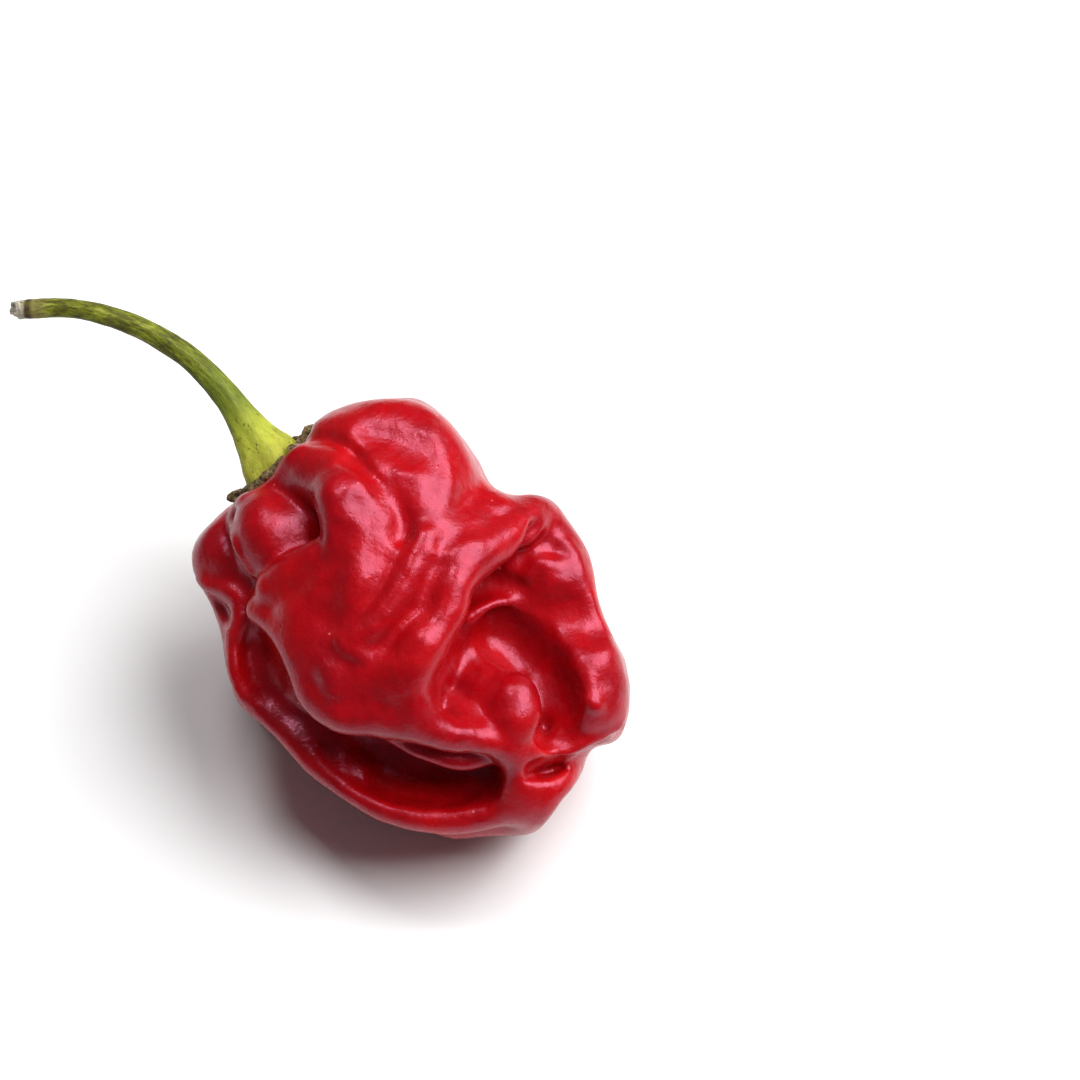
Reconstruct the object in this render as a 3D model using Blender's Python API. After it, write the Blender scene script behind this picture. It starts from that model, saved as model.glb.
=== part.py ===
"""A whole red hot pepper of the bonnet kind, lying on its side, with its green stalk. Metres, +Z up.

The flesh is shaped like clay. A plump body fills the outline, full lobes and long folds are blended onto
it, then hollows are pressed in and a few folds are laid inside them. Each is written in millimetres in a
leaning frame, (right, up, toward), as someone sees the fruit who looks down on it from the front at LEAN
degrees above the table. The origin is on the flat spot that the fruit rests on, under its weight.
"""

import math

import bmesh
import bpy
import numpy as np
import openvdb
from mathutils import Matrix, Vector

MM = 0.001

# The fruit is 45 mm from stalk to blossom end and 37 mm across, on a stalk of 33 mm.
LEAN = 58.0
REST_HEIGHT = 18.0
TABLE_SIDE = 60.0
FLESH_STEP = 0.6
FLESH_SOFTNESS = 0.4
FLESH_TRIANGLES = 7600
FLESH_LOW = (-26.0, -26.0, -24.0)
FLESH_HIGH = (26.0, 26.0, 24.0)

# The outline that the fruit shows along the toward axis, and the plump body inside it.
OUTLINE = [
    (-10.1, 18.3), (-9.7, 19.4), (-8.6, 20.4), (-6.9, 21.2), (-4.3, 22.0), (-1.4, 22.4), (1.0, 22.1),
    (3.2, 20.5), (4.95, 18.7), (6.8, 16.0), (7.8, 14.0), (8.9, 12.9), (10.6, 12.5), (12.7, 12.7),
    (14.2, 12.1), (15.4, 10.8), (16.6, 9.0), (17.8, 6.9), (18.4, 4.8), (18.8, 2.4), (19.3, 0.5),
    (20.3, -1.6), (21.4, -3.9), (22.0, -6.0), (22.1, -7.8), (21.8, -9.9), (21.1, -11.5), (19.9, -12.3),
    (18.8, -12.5), (18.1, -13.2), (17.2, -15.0), (16.3, -16.5), (15.1, -17.8), (14.2, -19.2), (12.7, -21.0),
    (10.6, -21.8), (7.3, -21.8), (4.0, -21.9), (1.6, -21.3), (-2.0, -20.6), (-5.0, -18.9), (-8.0, -16.8),
    (-10.4, -15.0), (-11.9, -13.2), (-13.1, -11.7), (-15.2, -9.9), (-17.0, -8.4), (-17.9, -6.3),
    (-18.5, -4.5), (-18.8, -2.1), (-19.4, 0.0), (-20.0, 1.5), (-20.9, 3.0), (-21.6, 4.5), (-21.9, 6.0),
    (-21.6, 7.5), (-20.6, 9.0), (-19.1, 10.5), (-17.9, 11.7), (-16.9, 12.8),
]
BODY_ROUNDING = 13.0
BODY_FRONT = 7.5
BODY_BACK = 11.5
OUTLINE_BLEND = 0.8

# Full lobes: blend, centre, radii, and turn about the toward axis in degrees.
LOBES = {
    "dome": (1.6, (-0.6, 13.2, 1.5), (8.6, 9.0, 9.4), 0),
    "shoulder_ball": (0.8, (-13.4, 8.3, 5.0), (4.2, 4.9, 5.2), 14),
    "far_left": (0.8, (-18.0, 6.8, -0.8), (4.2, 4.4, 5.0), 20),
    "flap_plate": (2.4, (-4.6, -2.2, 8.4), (9.6, 8.2, 5.4), -20),
    "right_bulge": (2.4, (17.4, -5.4, 3.8), (4.4, 7.6, 6.2), 14),
    "right_top": (2.0, (14.2, 3.4, 2.8), (4.6, 7.6, 5.8), 10),
    "cleft_fill": (1.6, (-10.0, 8.6, 4.6), (3.2, 4.2, 4.6), 0),
    "seat_pad": (1.4, (-12.2, 13.7, 0.8), (5.4, 2.3, 5.6), 40),
    "cheek": (2.4, (13.2, -16.2, 3.2), (4.6, 5.2, 5.8), 0),
    "tuck": (0.8, (19.6, -11.0, 2.4), (2.0, 1.6, 3.0), 30),
}

# Folds: blend, then points of centre and radius along the crest.
FOLDS = {
    "dome_ring": (2.4, [(-7.0, 19.2, 3.0, 2.0), (-4.2, 19.4, 4.8, 2.5), (-0.8, 19.0, 6.4, 2.8),
                        (1.9, 17.4, 7.4, 2.9), (3.4, 15.0, 8.1, 2.9), (3.6, 12.6, 8.8, 2.9),
                        (3.0, 10.2, 9.5, 2.8), (2.4, 8.6, 10.2, 2.6)]),
    "dome_inner": (2.4, [(-9.0, 18.0, 4.4, 1.8), (-6.2, 18.0, 6.4, 2.2), (-3.2, 16.6, 8.4, 2.8),
                         (-1.0, 14.6, 9.6, 3.2), (0.2, 12.6, 10.2, 3.3), (0.8, 10.8, 10.6, 3.2),
                         (1.3, 8.8, 10.8, 2.8)]),
    "calyx_fold": (1.0, [(-13.0, 14.6, 5.2, 1.0), (-10.8, 15.9, 6.8, 1.2), (-8.4, 16.0, 8.4, 1.3),
                         (-6.2, 15.0, 10.0, 1.3)]),
    "second_lobe": (1.2, [(-12.0, 14.0, 3.5, 2.6), (-9.4, 14.4, 6.4, 3.1), (-6.6, 13.2, 9.2, 3.5),
                          (-4.4, 11.0, 11.2, 3.8), (-3.4, 8.0, 12.0, 3.8), (-4.2, 5.0, 12.0, 3.6),
                          (-6.6, 2.6, 11.6, 3.4), (-9.4, 1.0, 10.4, 3.0)]),
    "flap_brow": (1.4, [(-13.6, 1.7, 7.0, 1.8), (-11.6, 3.4, 9.0, 2.0), (-9.2, 4.8, 10.6, 2.2),
                        (-7, 6.0, 11.4, 2.2)]),
    "flap_lip": (1.0, [(-14.0, 1.6, 7.2, 1.7), (-13.0, 0.2, 8.2, 1.7), (-10.9, -1.8, 10.0, 1.8),
                       (-9.4, -4.6, 11.4, 1.9), (-8.6, -7.0, 12.2, 2.0), (-6.4, -8.9, 12.8, 1.9),
                       (-3.4, -9.2, 13.0, 1.8), (0.0, -9.8, 13.0, 1.8), (3.6, -10.7, 12.6, 1.7),
                       (7.6, -11.6, 11.6, 1.5), (10, -12.0, 10.8, 1.4)]),
    "middle_ridge": (1.0, [(2.6, 9.0, 12.2, 1.8), (1.2, 6.2, 13.4, 1.9), (-0.6, 3.2, 14.0, 2.0),
                           (-2.6, 0.6, 14.0, 2.1), (-4.4, -1.4, 13.4, 2.4), (-5.4, -3.6, 12.6, 3.0)]),
    "flap_fill": (2.4, [(-9.2, -1.2, 9.2, 3.4), (-7.8, -4.6, 10.0, 3.8), (-5.0, -6.6, 11.0, 3.6),
                        (-1.4, -7.8, 11.4, 3.2)]),
    "flap_front": (2.0, [(-6.5, -3, 10.4, 4.2), (-2.5, -5.6, 11.4, 4.0), (0.0, -6.6, 12.0, 3.2)]),
    "ridge_plate": (1.4, [(8.0, 10.2, 7.6, 3.0), (5.2, 7.6, 10.4, 3.2), (2.2, 3.6, 11.2, 3.0),
                          (0.4, -0.6, 11.4, 3.0), (-1.0, -4.2, 11.8, 3.0)]),
    "long_ridge": (1.0, [(4.6, -11.4, 12.0, 1.3), (1.9, -9.8, 13.4, 1.6), (0.6, -7.2, 14.4, 1.8),
                         (1.0, -4.4, 15.0, 1.9), (2.4, -1.6, 15.2, 1.9), (4.0, 1.0, 14.8, 1.9),
                         (4.8, 3.8, 14.4, 1.9), (6.4, 6.0, 13.0, 2.0), (9.0, 7.8, 11.0, 2.0),
                         (11.2, 9.4, 8.6, 2.0), (12.4, 10.6, 6.4, 2.0)]),
    "saddle_rim": (1.4, [(7.4, 12.0, 6.0, 2.0), (10.2, 10.9, 5.6, 1.9), (13.0, 10.4, 4.6, 2.0)]),
    "right_edge": (1.6, [(13.4, 10.0, 4.6, 2.0), (15.4, 7.4, 4.5, 2.0), (16.6, 3.8, 5.4, 2.2),
                         (17.4, -1.0, 6.0, 2.8), (18.6, -5.0, 6.8, 3.2), (18.6, -8.4, 7.2, 3.0)]),
    "step": (1.8, [(5.0, -0.8, 7.8, 1.2), (6.6, 0.4, 8.6, 1.2), (8.8, 1.2, 8.6, 1.3), (11.4, 0.6, 7.4, 1.6),
                   (14.0, -1.0, 6.4, 2.4), (16.0, -4.2, 7.2, 3.2), (17.0, -7.8, 7.8, 3.0)]),
    "pan_crest": (1.4, [(9.8, 5.8, 6.0, 1.6), (11.6, 7.4, 5.6, 1.6), (13.4, 9.2, 4.8, 1.6)]),
    "bottom_band": (1.0, [(9, -12.2, 10.4, 1.5), (12.5, -12.2, 9.4, 1.6), (16.4, -11.4, 7.6, 1.8),
                          (19.4, -9.8, 5.0, 1.8)]),
    "mouth_wall": (2.2, [(10.8, -12.6, 9.0, 1.6), (11.2, -15.0, 8.4, 1.9), (10.8, -17.4, 6.6, 2.2)]),
    "lower_rim": (1.2, [(-15.8, -7.0, 1.5, 2.2), (-12.4, -10.6, 3.2, 2.2), (-9.2, -13.8, 4.8, 2.0),
                        (-6.0, -16.2, 5.8, 1.8), (-2.6, -18.2, 6.2, 1.7), (1.4, -19.2, 6.2, 1.7),
                        (5.0, -19.4, 6.0, 1.8), (8.4, -18.6, 6.0, 1.9), (10.6, -17.2, 6.4, 2.0)]),
    "back_upper": (1.8, [(-11.5, 13.6, -3.0, 3.4), (-6.0, 15.6, -6.4, 4.7), (0.5, 13.6, -9.2, 5.0),
                         (6.5, 8.6, -10.2, 4.7), (11.5, 2.6, -9.6, 5.2), (15.8, -4.0, -5.6, 4.6),
                         (17.2, -10, -1.0, 3.4)]),
    "back_middle": (1.8, [(-13.5, 10.4, -3.6, 3.4), (-9.5, 7.4, -9.0, 4.8), (-4.0, 3.4, -12.0, 5.2),
                          (1.6, -2.6, -13.3, 5.3), (6.5, -8.0, -10.9, 4.9), (11.4, -13.0, -7.4, 4.8),
                          (13.6, -17.0, -2.0, 3.0)]),
    "back_lower": (1.8, [(-17.4, 6.0, -3.2, 3.6), (-15.6, -0.4, -6.6, 4.3), (-11.4, -5.6, -9.8, 4.7),
                         (-6.0, -10.0, -9.7, 4.8), (-0.4, -14.4, -7.4, 4.6), (4.6, -17.6, -4.4, 3.8),
                         (6.0, -18.6, 0.0, 3.0)]),
    "rest_pad": (2.0, [(-1.0, -9.2, -10.0, 5.2), (3.5, -6.6, -11.5, 5.2)]),
    "seat_edge": (1.2, [(-15.4, 11.9, -2.6, 2.4), (-15.8, 11.6, 0.8, 2.4), (-15.0, 12.2, 3.6, 2.2)]),
    "front_left": (1.8, [(-16.6, 3.0, 1.0, 3.0), (-15.6, -2.6, -0.6, 3.2), (-12.6, -7.4, -1.6, 3.6),
                         (-8.0, -12.6, -1.8, 4.0), (-3.6, -16.4, 0.0, 3.4)]),
    "crown_fold": (1.0, [(-8.2, 17.2, 1.0, 2.6), (-3.4, 18.6, -2.6, 3.0), (3.0, 16.4, -4.2, 3.0),
                         (7.2, 11.4, -2.6, 2.8), (11.4, 8.8, -1.0, 3.0)]),
    "left_seam": (0.8, [(-17.2, 2.4, 4.5, 1.2), (-17.2, -1.0, 4.2, 1.2), (-17.0, -4.6, 3.6, 1.3),
                        (-15.4, -7.6, 3.4, 1.4)]),
}

# Hollows, pressed in after all of that: blend, then points of centre and radius.
HOLLOWS = {
    "shoulder_cleft": (1.2, [(-13.2, 13.4, 8.4, 0.7), (-11.2, 11.8, 11.0, 1.1), (-9.5, 9.8, 12.6, 1.2),
                             (-9.2, 7.8, 13.6, 0.8)]),
    "left_crease": (0.6, [(-17.2, 11.0, 4.6, 0.5), (-17.9, 8.2, 5.6, 0.6), (-17.3, 5.0, 6.4, 0.6),
                          (-15.6, 3.0, 7.6, 0.5)]),
    "dome_pan": (2.0, [(-3.2, 18.5, 11.2, 1.6), (-1.2, 17.8, 12.0, 1.8), (0.4, 16.8, 12.6, 1.5)]),
    "dimple": (0.6, [(0.0, 13.8, 13.7, 0.6), (0.2, 13.2, 13.9, 0.6)]),
    "bowl": (1.2, [(6.8, 2.4, 10.8, 1.5), (8.6, 3.2, 10.4, 1.6), (11.6, 3.4, 10.4, 1.4),
                   (14.4, 3.4, 10.6, 1.2)]),
    "ridge_crease": (0.8, [(8.6, 5.6, 10.0, 0.9), (10.8, 7.4, 10.0, 0.8), (12.8, 9.6, 9.4, 0.6)]),
    "bowl_low": (1.8, [(9.0, -1.4, 11.8, 1.4), (11.8, -2.8, 11.4, 3.0), (13.8, -5.6, 11.4, 2.8),
                       (14.4, -8.2, 11.8, 1.2)]),
    "bowl_edge": (0.8, [(5.6, -1.8, 12.4, 1.2), (4.4, -4.6, 12.4, 1.4), (4.1, -7.4, 13.0, 1.3),
                        (5.3, -9.2, 13.4, 0.9)]),
    "mouth": (0.8, [(-9.2, -10.0, 7.8, 1.8), (-6, -12.4, 8.0, 2.8), (-1.6, -14.0, 7.6, 3.8),
                    (3.4, -14.6, 7.6, 4.0), (6.0, -14.6, 8.0, 3.2)]),
    "mouth_end": (0.5, [(6.4, -12.8, 8.8, 2.6), (6.8, -16.2, 8.6, 2.3)]),
    "pit_dent": (0.8, [(12.4, -14.9, 10.0, 1.0), (15.0, -14.5, 9.2, 1.0)]),
    "pit": (0.4, [(12.5, -15.0, 8.6, 0.5), (13.8, -14.9, 7.9, 0.7), (15.0, -14.6, 7.6, 0.5)]),
    "under_flap": (1.0, [(-15.4, -1.6, 7.2, 1.0), (-14.2, -4.4, 7.8, 1.8), (-12.6, -7.6, 8.2, 2.0),
                         (-10.6, -10.4, 8.4, 2.0)]),
    "back_dent": (1.4, [(2.5, 5.5, -16.5, 1.6), (6.0, 2.6, -16.2, 1.8), (8.0, -1.6, -15.6, 1.4)]),
    "side_dent": (1.2, [(21.0, -1.0, -3.0, 1.4), (20.8, -5.2, -4.6, 1.8)]),
    "low_dent": (1.2, [(3.6, -13.6, -13.0, 1.4), (7.4, -16.2, -9.4, 1.5)]),
    "left_dent": (1.0, [(-18.6, 3.6, -7.4, 1.2), (-15.0, 4.2, -9.6, 1.6), (-12.4, 1.4, -12.6, 1.2)]),
    "under_far_left": (0.8, [(-19.6, 1.2, 4.6, 0.8), (-17.6, 2.0, 6.4, 1.2)]),
}

# Folds laid in after the hollows.
INNER_FOLDS = {
    "nose_mound": (1.6, [(5.4, -3.0, 6.0, 1.4), (6.7, -5.0, 6.5, 2.2), (7.8, -7.2, 7.2, 3.3),
                         (8.8, -9.2, 7.9, 3.6), (9.4, -10.8, 8.2, 3.0)]),
    "nose": (1.0, [(7.4, -1.2, 6.6, 0.8), (9.2, -2.5, 7.0, 1.0), (10.8, -4.4, 7.8, 1.5),
                   (11.2, -6.4, 8.9, 2.2), (11.0, -8.2, 9.7, 2.5), (10.4, -9.8, 10.1, 2.5)]),
    "nose_side": (1.0, [(4.6, -8.8, 9.6, 1.5), (5.7, -10.1, 10.2, 1.8), (7.2, -11.0, 10.4, 1.6)]),
    "tongue_root": (0.8, [(-0.6, -10.2, 9.2, 1.2), (1.8, -11.4, 9.4, 1.3), (4.6, -12.2, 9.2, 1.3),
                          (7.6, -12.2, 8.8, 1.4)]),
    "tongue": (0.6, [(-2.4, -10.6, 9.4, 0.9), (0.2, -12.2, 10.0, 0.9), (2.8, -13.3, 10.0, 0.9),
                     (5.6, -13.8, 9.6, 0.9), (8.4, -13.0, 8.8, 1.1)]),
    "mouth_bump": (1.4, [(-8.8, -10.8, 4.2, 1.5), (-6.8, -13.2, 4.2, 1.5), (-5.2, -15.0, 4.6, 1.4)]),
}

# The stalk's middle line from its dry tip to the seat, with its radius.
STALK = [
    (-40.3, 31.25, -3.2, 0.7), (-39.2, 31.2, -3.0, 0.92), (-37.9, 31.2, -2.7, 0.98),
    (-35.1, 31.3, -2.2, 0.97), (-32.1, 30.9, -1.5, 1.0), (-29.0, 30.0, -1.0, 1.08),
    (-26.0, 28.7, -0.6, 1.12), (-23.5, 27.2, -0.2, 1.2), (-21.5, 25.7, 0.1, 1.22), (-19.7, 23.9, 0.3, 1.3),
    (-18.1, 22.0, 0.5, 1.42), (-17.1, 20.6, 0.6, 1.6), (-16.1, 19.1, 0.7, 1.9), (-15.25, 17.8, 0.8, 2.35),
    (-14.5, 16.7, 0.8, 2.9), (-13.95, 15.85, 0.8, 3.2), (-13.5, 15.18, 0.8, 3.4),
]
STALK_SIDES = 20
STALK_RIBS = 5
STALK_RIB_DEPTH = 0.07
TIP_HOLLOW = 0.6

# The flat seat that the calyx stands on, and the air left between the pieces there.
SEAT = (-13.3, 14.95, 0.8)
SEAT_AXIS = (-0.65, 0.76, 0.06)
SEAT_RADIUS = 5.5
GAP = 0.3

# The withered edge of the calyx, at equal turns about the seat axis: outer radius and height above the seat.
RIM = [
    (4.6, 1.3), (4.9, 1.1), (4.4, 0.8), (4.5, 0.9), (4.2, 0.7), (4.5, 0.8), (4.3, 0.7), (4.5, 0.95),
    (4.2, 0.7), (4.4, 0.8), (4.6, 1.1), (4.9, 1.5), (5.0, 1.9), (4.9, 1.6), (4.5, 1.2), (4.6, 0.9),
    (4.3, 0.8), (4.6, 1.0), (4.2, 0.7), (4.5, 0.9), (4.3, 0.7), (4.6, 1.0), (4.3, 0.8), (4.4, 0.9),
]
RIM_INNER = 3.9
RIM_CURL = 0.12

FAR = 9.0
CURVE_SPANS = 4


def smooth_union(a, b, blend):
    """The lower of two distances, rounded where they meet."""
    share = np.clip(0.5 + 0.5 * (b - a) / blend, 0, 1)
    return b + (a - b) * share - blend * share * (1 - share)


def smooth_cut(a, b, blend):
    """The distance to a with b taken out of it, rounded along the rim."""
    return -smooth_union(-a, b, blend)


def spans_between(a, b, c, d, spans):
    """Catmull-Rom points from each b towards its c, where a comes before them and d after."""
    made = []
    for t in np.linspace(0, 1, spans, endpoint=False):
        bend = (2 * a - 5 * b + 4 * c - d) * t**2 + (3 * b - a - 3 * c + d) * t**3
        made.append(0.5 * (2 * b + (c - a) * t + bend))
    return np.stack(made, axis=1).reshape(-1, b.shape[1])


def curve_through(points, spans=CURVE_SPANS):
    """A smooth curve through the points, whose last number is a radius."""
    p = np.array(points, float)
    p = np.vstack([2 * p[0] - p[1], p, 2 * p[-1] - p[-2]])
    return np.vstack([spans_between(p[:-3], p[1:-2], p[2:-1], p[3:], spans), p[-2:-1]])


def closed_curve(points, spans=CURVE_SPANS):
    """A smooth loop through the points."""
    p = np.array(points, float)
    return spans_between(np.roll(p, 1, axis=0), p, np.roll(p, -1, axis=0), np.roll(p, -2, axis=0), spans)


class Clay:
    """A block of space that holds, on a grid, how far each point is outside the flesh."""

    def __init__(self, low, high, step):
        self.step = step
        self.axes = [np.arange(a, b + step, step, dtype=np.float32) for a, b in zip(low, high)]
        self.value = np.full([len(axis) for axis in self.axes], FAR, np.float32)

    def near(self, low, high):
        """The part of the grid in this box, and its points as three broadcast axes."""
        cut = tuple(slice(*np.searchsorted(axis, (a, b))) for axis, a, b in zip(self.axes, low, high))
        return cut, np.meshgrid(*[axis[s] for axis, s in zip(self.axes, cut)], indexing="ij", sparse=True)

    def body(self, outline, rounding, front, back):
        """A plump body that fills the outline. It also keeps how far each column is outside the outline."""
        curve = closed_curve(outline)
        x, y = np.meshgrid(self.axes[0], self.axes[1], indexing="ij")
        outside = np.full(x.shape, FAR * FAR, np.float32)
        within = np.zeros(x.shape, bool)
        for a, b in zip(curve, np.roll(curve, -1, axis=0)):
            d = b - a
            t = np.clip(((x - a[0]) * d[0] + (y - a[1]) * d[1]) / (d @ d), 0, 1)
            outside = np.minimum(outside, np.hypot(x - a[0] - t * d[0], y - a[1] - t * d[1]))
            spans = (a[1] > y) != (b[1] > y)
            within ^= spans & (x < a[0] + d[0] * (y - a[1]) / (d[1] if d[1] else 1))
        outside = np.where(within, -outside, outside)[:, :, None]
        z = self.axes[2][None, None, :]
        q = np.maximum(rounding + outside, 0) / rounding
        depth = np.where(z > 0, front, back)
        near = np.sqrt(q**2 + (z / depth) ** 2)
        steep = np.sqrt((q / rounding) ** 2 + (z / depth**2) ** 2)
        self.value = (near * (near - 1) / np.maximum(steep, 1e-6)).astype(np.float32)
        self.outside = outside

    def lobe(self, blend, centre, radii, turn):
        reach = max(radii) + blend + 4
        cut, (x, y, z) = self.near([c - reach for c in centre], [c + reach for c in centre])
        x, y, z = x - centre[0], y - centre[1], z - centre[2]
        c, s = math.cos(math.radians(turn)), math.sin(math.radians(turn))
        x, y = x * c + y * s, y * c - x * s
        near = np.sqrt((x / radii[0]) ** 2 + (y / radii[1]) ** 2 + (z / radii[2]) ** 2)
        steep = np.sqrt((x / radii[0] ** 2) ** 2 + (y / radii[1] ** 2) ** 2 + (z / radii[2] ** 2) ** 2)
        away = near * (near - 1) / np.maximum(steep, 1e-6)
        self.value[cut] = smooth_union(self.value[cut], away, blend)

    def along(self, blend, points):
        """The part of the grid near a curve, and its distance from the round body along it."""
        curve = curve_through(points)
        reach = curve[:, 3].max() + blend + 4
        cut, (x, y, z) = self.near(curve[:, :3].min(0) - reach, curve[:, :3].max(0) + reach)
        nearest = np.full(self.value[cut].shape, FAR, np.float32)
        for a, b in zip(curve[:-1], curve[1:]):
            d = b - a
            u, v, w = x - a[0], y - a[1], z - a[2]
            t = np.clip((u * d[0] + v * d[1] + w * d[2]) / (d[:3] @ d[:3]), 0, 1)
            away = np.sqrt((u - t * d[0]) ** 2 + (v - t * d[1]) ** 2 + (w - t * d[2]) ** 2)
            nearest = np.minimum(nearest, away - (a[3] + t * d[3]))
        return cut, nearest

    def fold(self, blend, points):
        cut, away = self.along(blend, points)
        self.value[cut] = smooth_union(self.value[cut], away, blend)

    def hollow(self, blend, points):
        cut, away = self.along(blend, points)
        self.value[cut] = smooth_cut(self.value[cut], away, blend)

    def soften(self, width):
        """Blurs the grid, which rounds every edge and crease by about this width."""
        reach = math.ceil(3 * width / self.step)
        offsets = np.arange(-reach, reach + 1)
        weights = np.exp(-0.5 * (offsets * self.step / width) ** 2)
        for axis in range(3):
            shifted = [w * np.roll(self.value, k, axis) for k, w in zip(offsets, weights / weights.sum())]
            self.value = sum(shifted).astype(np.float32)

    def surface(self):
        """Points and faces of the skin, in the leaning frame."""
        grid = openvdb.FloatGrid(FAR)
        grid.copyFromArray(self.value)
        points, triangles, quads = grid.convertToPolygons(0.0, 0.0)
        low = np.array([axis[0] for axis in self.axes])
        return points * self.step + low, [*triangles.tolist(), *quads.tolist()]


def model_flesh(step):
    clay = Clay(FLESH_LOW, FLESH_HIGH, step)
    clay.body(OUTLINE, BODY_ROUNDING, BODY_FRONT, BODY_BACK)
    for lobe in LOBES.values():
        clay.lobe(*lobe)
    for fold in FOLDS.values():
        clay.fold(*fold)
    for hollow in HOLLOWS.values():
        clay.hollow(*hollow)
    for fold in INNER_FOLDS.values():
        clay.fold(*fold)
    clay.value = -smooth_union(-clay.value, -clay.outside, OUTLINE_BLEND)
    clay.soften(FLESH_SOFTNESS)
    return clay.surface()


def leaning_frame():
    """Carries (right, up, toward) in millimetres to the row frame in metres."""
    turn = Matrix.Rotation(math.radians(90 - LEAN), 4, "X")
    return Matrix.Translation((0, 0, REST_HEIGHT * MM)) @ turn @ Matrix.Scale(MM, 4)


def seat_frame():
    """Puts the middle of the seat at the origin with its axis along +Z, in the leaning frame."""
    axis = Vector(SEAT_AXIS).normalized()
    side = Vector((0, 0, 1)).cross(axis).normalized()
    turn = Matrix((side, axis.cross(side), axis)).transposed().to_4x4()
    return Matrix.Translation(SEAT) @ turn


def ring_faces(rings, sides, closed):
    """Quads between rings of the same number of points."""
    faces = []
    for i in range(rings if closed else rings - 1):
        for j in range(sides):
            a, b = i * sides + j, i * sides + (j + 1) % sides
            c, d = (i + 1) % rings * sides + (j + 1) % sides, (i + 1) % rings * sides + j
            faces.append((a, b, c, d))
    return faces


def model_stalk():
    """The stalk's rings, from the bottom of the hollow in its tip to the flared calyx on the seat."""
    line = curve_through(STALK)
    tangents = np.gradient(line[:, :3], axis=0)
    tangents[-1] = -np.array(Vector(SEAT_AXIS).normalized())
    turns = np.linspace(0, 2 * math.pi, STALK_SIDES, endpoint=False)
    last = len(line) - 1
    points = []
    for i, sunk, share in [(0, TIP_HOLLOW, 0.4), (0, 0, 0.6), *[(i, 0, 1) for i in range(last + 1)]]:
        tangent = Vector(tangents[i]).normalized()
        side = Vector((0, 0, 1)).cross(tangent).normalized()
        front = tangent.cross(side)
        middle = Vector(line[i, :3]) + tangent * sunk
        for turn in turns:
            radius = line[i, 3] * share * (1 + STALK_RIB_DEPTH * i / last * math.cos(STALK_RIBS * turn))
            points.append(middle + (side * math.cos(turn) + front * math.sin(turn)) * radius)
    faces = ring_faces(last + 3, STALK_SIDES, False)
    faces += [tuple(range(STALK_SIDES)), tuple(range(len(points) - 1, len(points) - STALK_SIDES - 1, -1))]
    return np.array([tuple(p) for p in points]), faces


def model_rim():
    """A ring round the calyx with a ragged outer edge that curls up."""
    seat = seat_frame()
    edge = closed_curve(RIM, 2)
    points = []
    for turn, (outer, height) in zip(np.linspace(0, 2 * math.pi, len(edge), endpoint=False), edge):
        middle = (RIM_INNER + outer) / 2
        section = [
            (RIM_INNER, GAP), (middle, GAP), (outer, GAP + RIM_CURL), (outer - RIM_CURL, height),
            (middle, height - RIM_CURL), (RIM_INNER, height - 2 * RIM_CURL),
        ]
        points += [seat @ Vector((math.cos(turn) * r, math.sin(turn) * r, z)) for r, z in section]
    return np.array([tuple(p) for p in points]), ring_faces(len(edge), 6, True)


def mesh_object(name, points, faces, frame, colour, roughness, collection):
    mesh = bpy.data.meshes.new(name)
    mesh.from_pydata(points.tolist(), [], faces)
    mesh.transform(frame)
    made = bmesh.new()
    made.from_mesh(mesh)
    bmesh.ops.recalc_face_normals(made, faces=made.faces)
    if made.calc_volume(signed=True) < 0:
        bmesh.ops.reverse_faces(made, faces=made.faces)
    made.to_mesh(mesh)
    made.free()
    mesh.shade_smooth()
    if colour:
        material = bpy.data.materials.new(name)
        material.use_nodes = True
        shader = material.node_tree.nodes["Principled BSDF"]
        shader.inputs["Base Color"].default_value = (*colour, 1)
        shader.inputs["Roughness"].default_value = roughness
        mesh.materials.append(material)
    obj = bpy.data.objects.new(name, mesh)
    collection.objects.link(obj)
    return obj


def cut(obj, cutter):
    boolean = obj.modifiers.new(cutter.name, "BOOLEAN")
    boolean.operation = "DIFFERENCE"
    boolean.solver = "EXACT"
    boolean.object = cutter


def cutter_object(name, collection, make, matrix, **sizes):
    """A closed solid that is only used to cut."""
    mesh = bpy.data.meshes.new(name)
    made = bmesh.new()
    make(made, matrix=matrix, **sizes)
    made.to_mesh(mesh)
    made.free()
    obj = bpy.data.objects.new(name, mesh)
    obj.hide_render = True
    obj.display_type = "WIRE"
    collection.objects.link(obj)
    return obj


def main():
    for obj in list(bpy.data.objects):
        bpy.data.objects.remove(obj)
    parts = bpy.data.collections.new("asante_hot_pepper")
    cutters = bpy.data.collections.new("cutters")
    bpy.context.scene.collection.children.link(parts)
    bpy.context.scene.collection.children.link(cutters)

    frame = leaning_frame()
    points, faces = model_flesh(FLESH_STEP)
    fruit = mesh_object("fruit", points, faces, frame, (0.42, 0.008, 0.012), 0.28, parts)
    fewer = fruit.modifiers.new("fewer_triangles", "DECIMATE")
    fewer.ratio = FLESH_TRIANGLES / sum(len(face) - 2 for face in faces)
    below = Matrix.Translation((0, 0, -0.5 * TABLE_SIDE * MM)) @ Matrix.Scale(TABLE_SIDE * MM, 4)
    cut(fruit, cutter_object("table", cutters, bmesh.ops.create_cube, below, size=1))
    above = frame @ seat_frame() @ Matrix.Translation((0, 0, SEAT_RADIUS))
    seat = cutter_object(
        "seat", cutters, bmesh.ops.create_cone, above, cap_ends=True, segments=32, radius1=SEAT_RADIUS,
        radius2=SEAT_RADIUS, depth=2 * SEAT_RADIUS
    )
    cut(fruit, seat)

    mesh_object("stalk", *model_stalk(), frame, (0.27, 0.33, 0.06), 0.5, parts)
    mesh_object("calyx_rim", *model_rim(), frame, (0.11, 0.07, 0.035), 0.8, parts)


if __name__ == "__main__":
    main()
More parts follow.
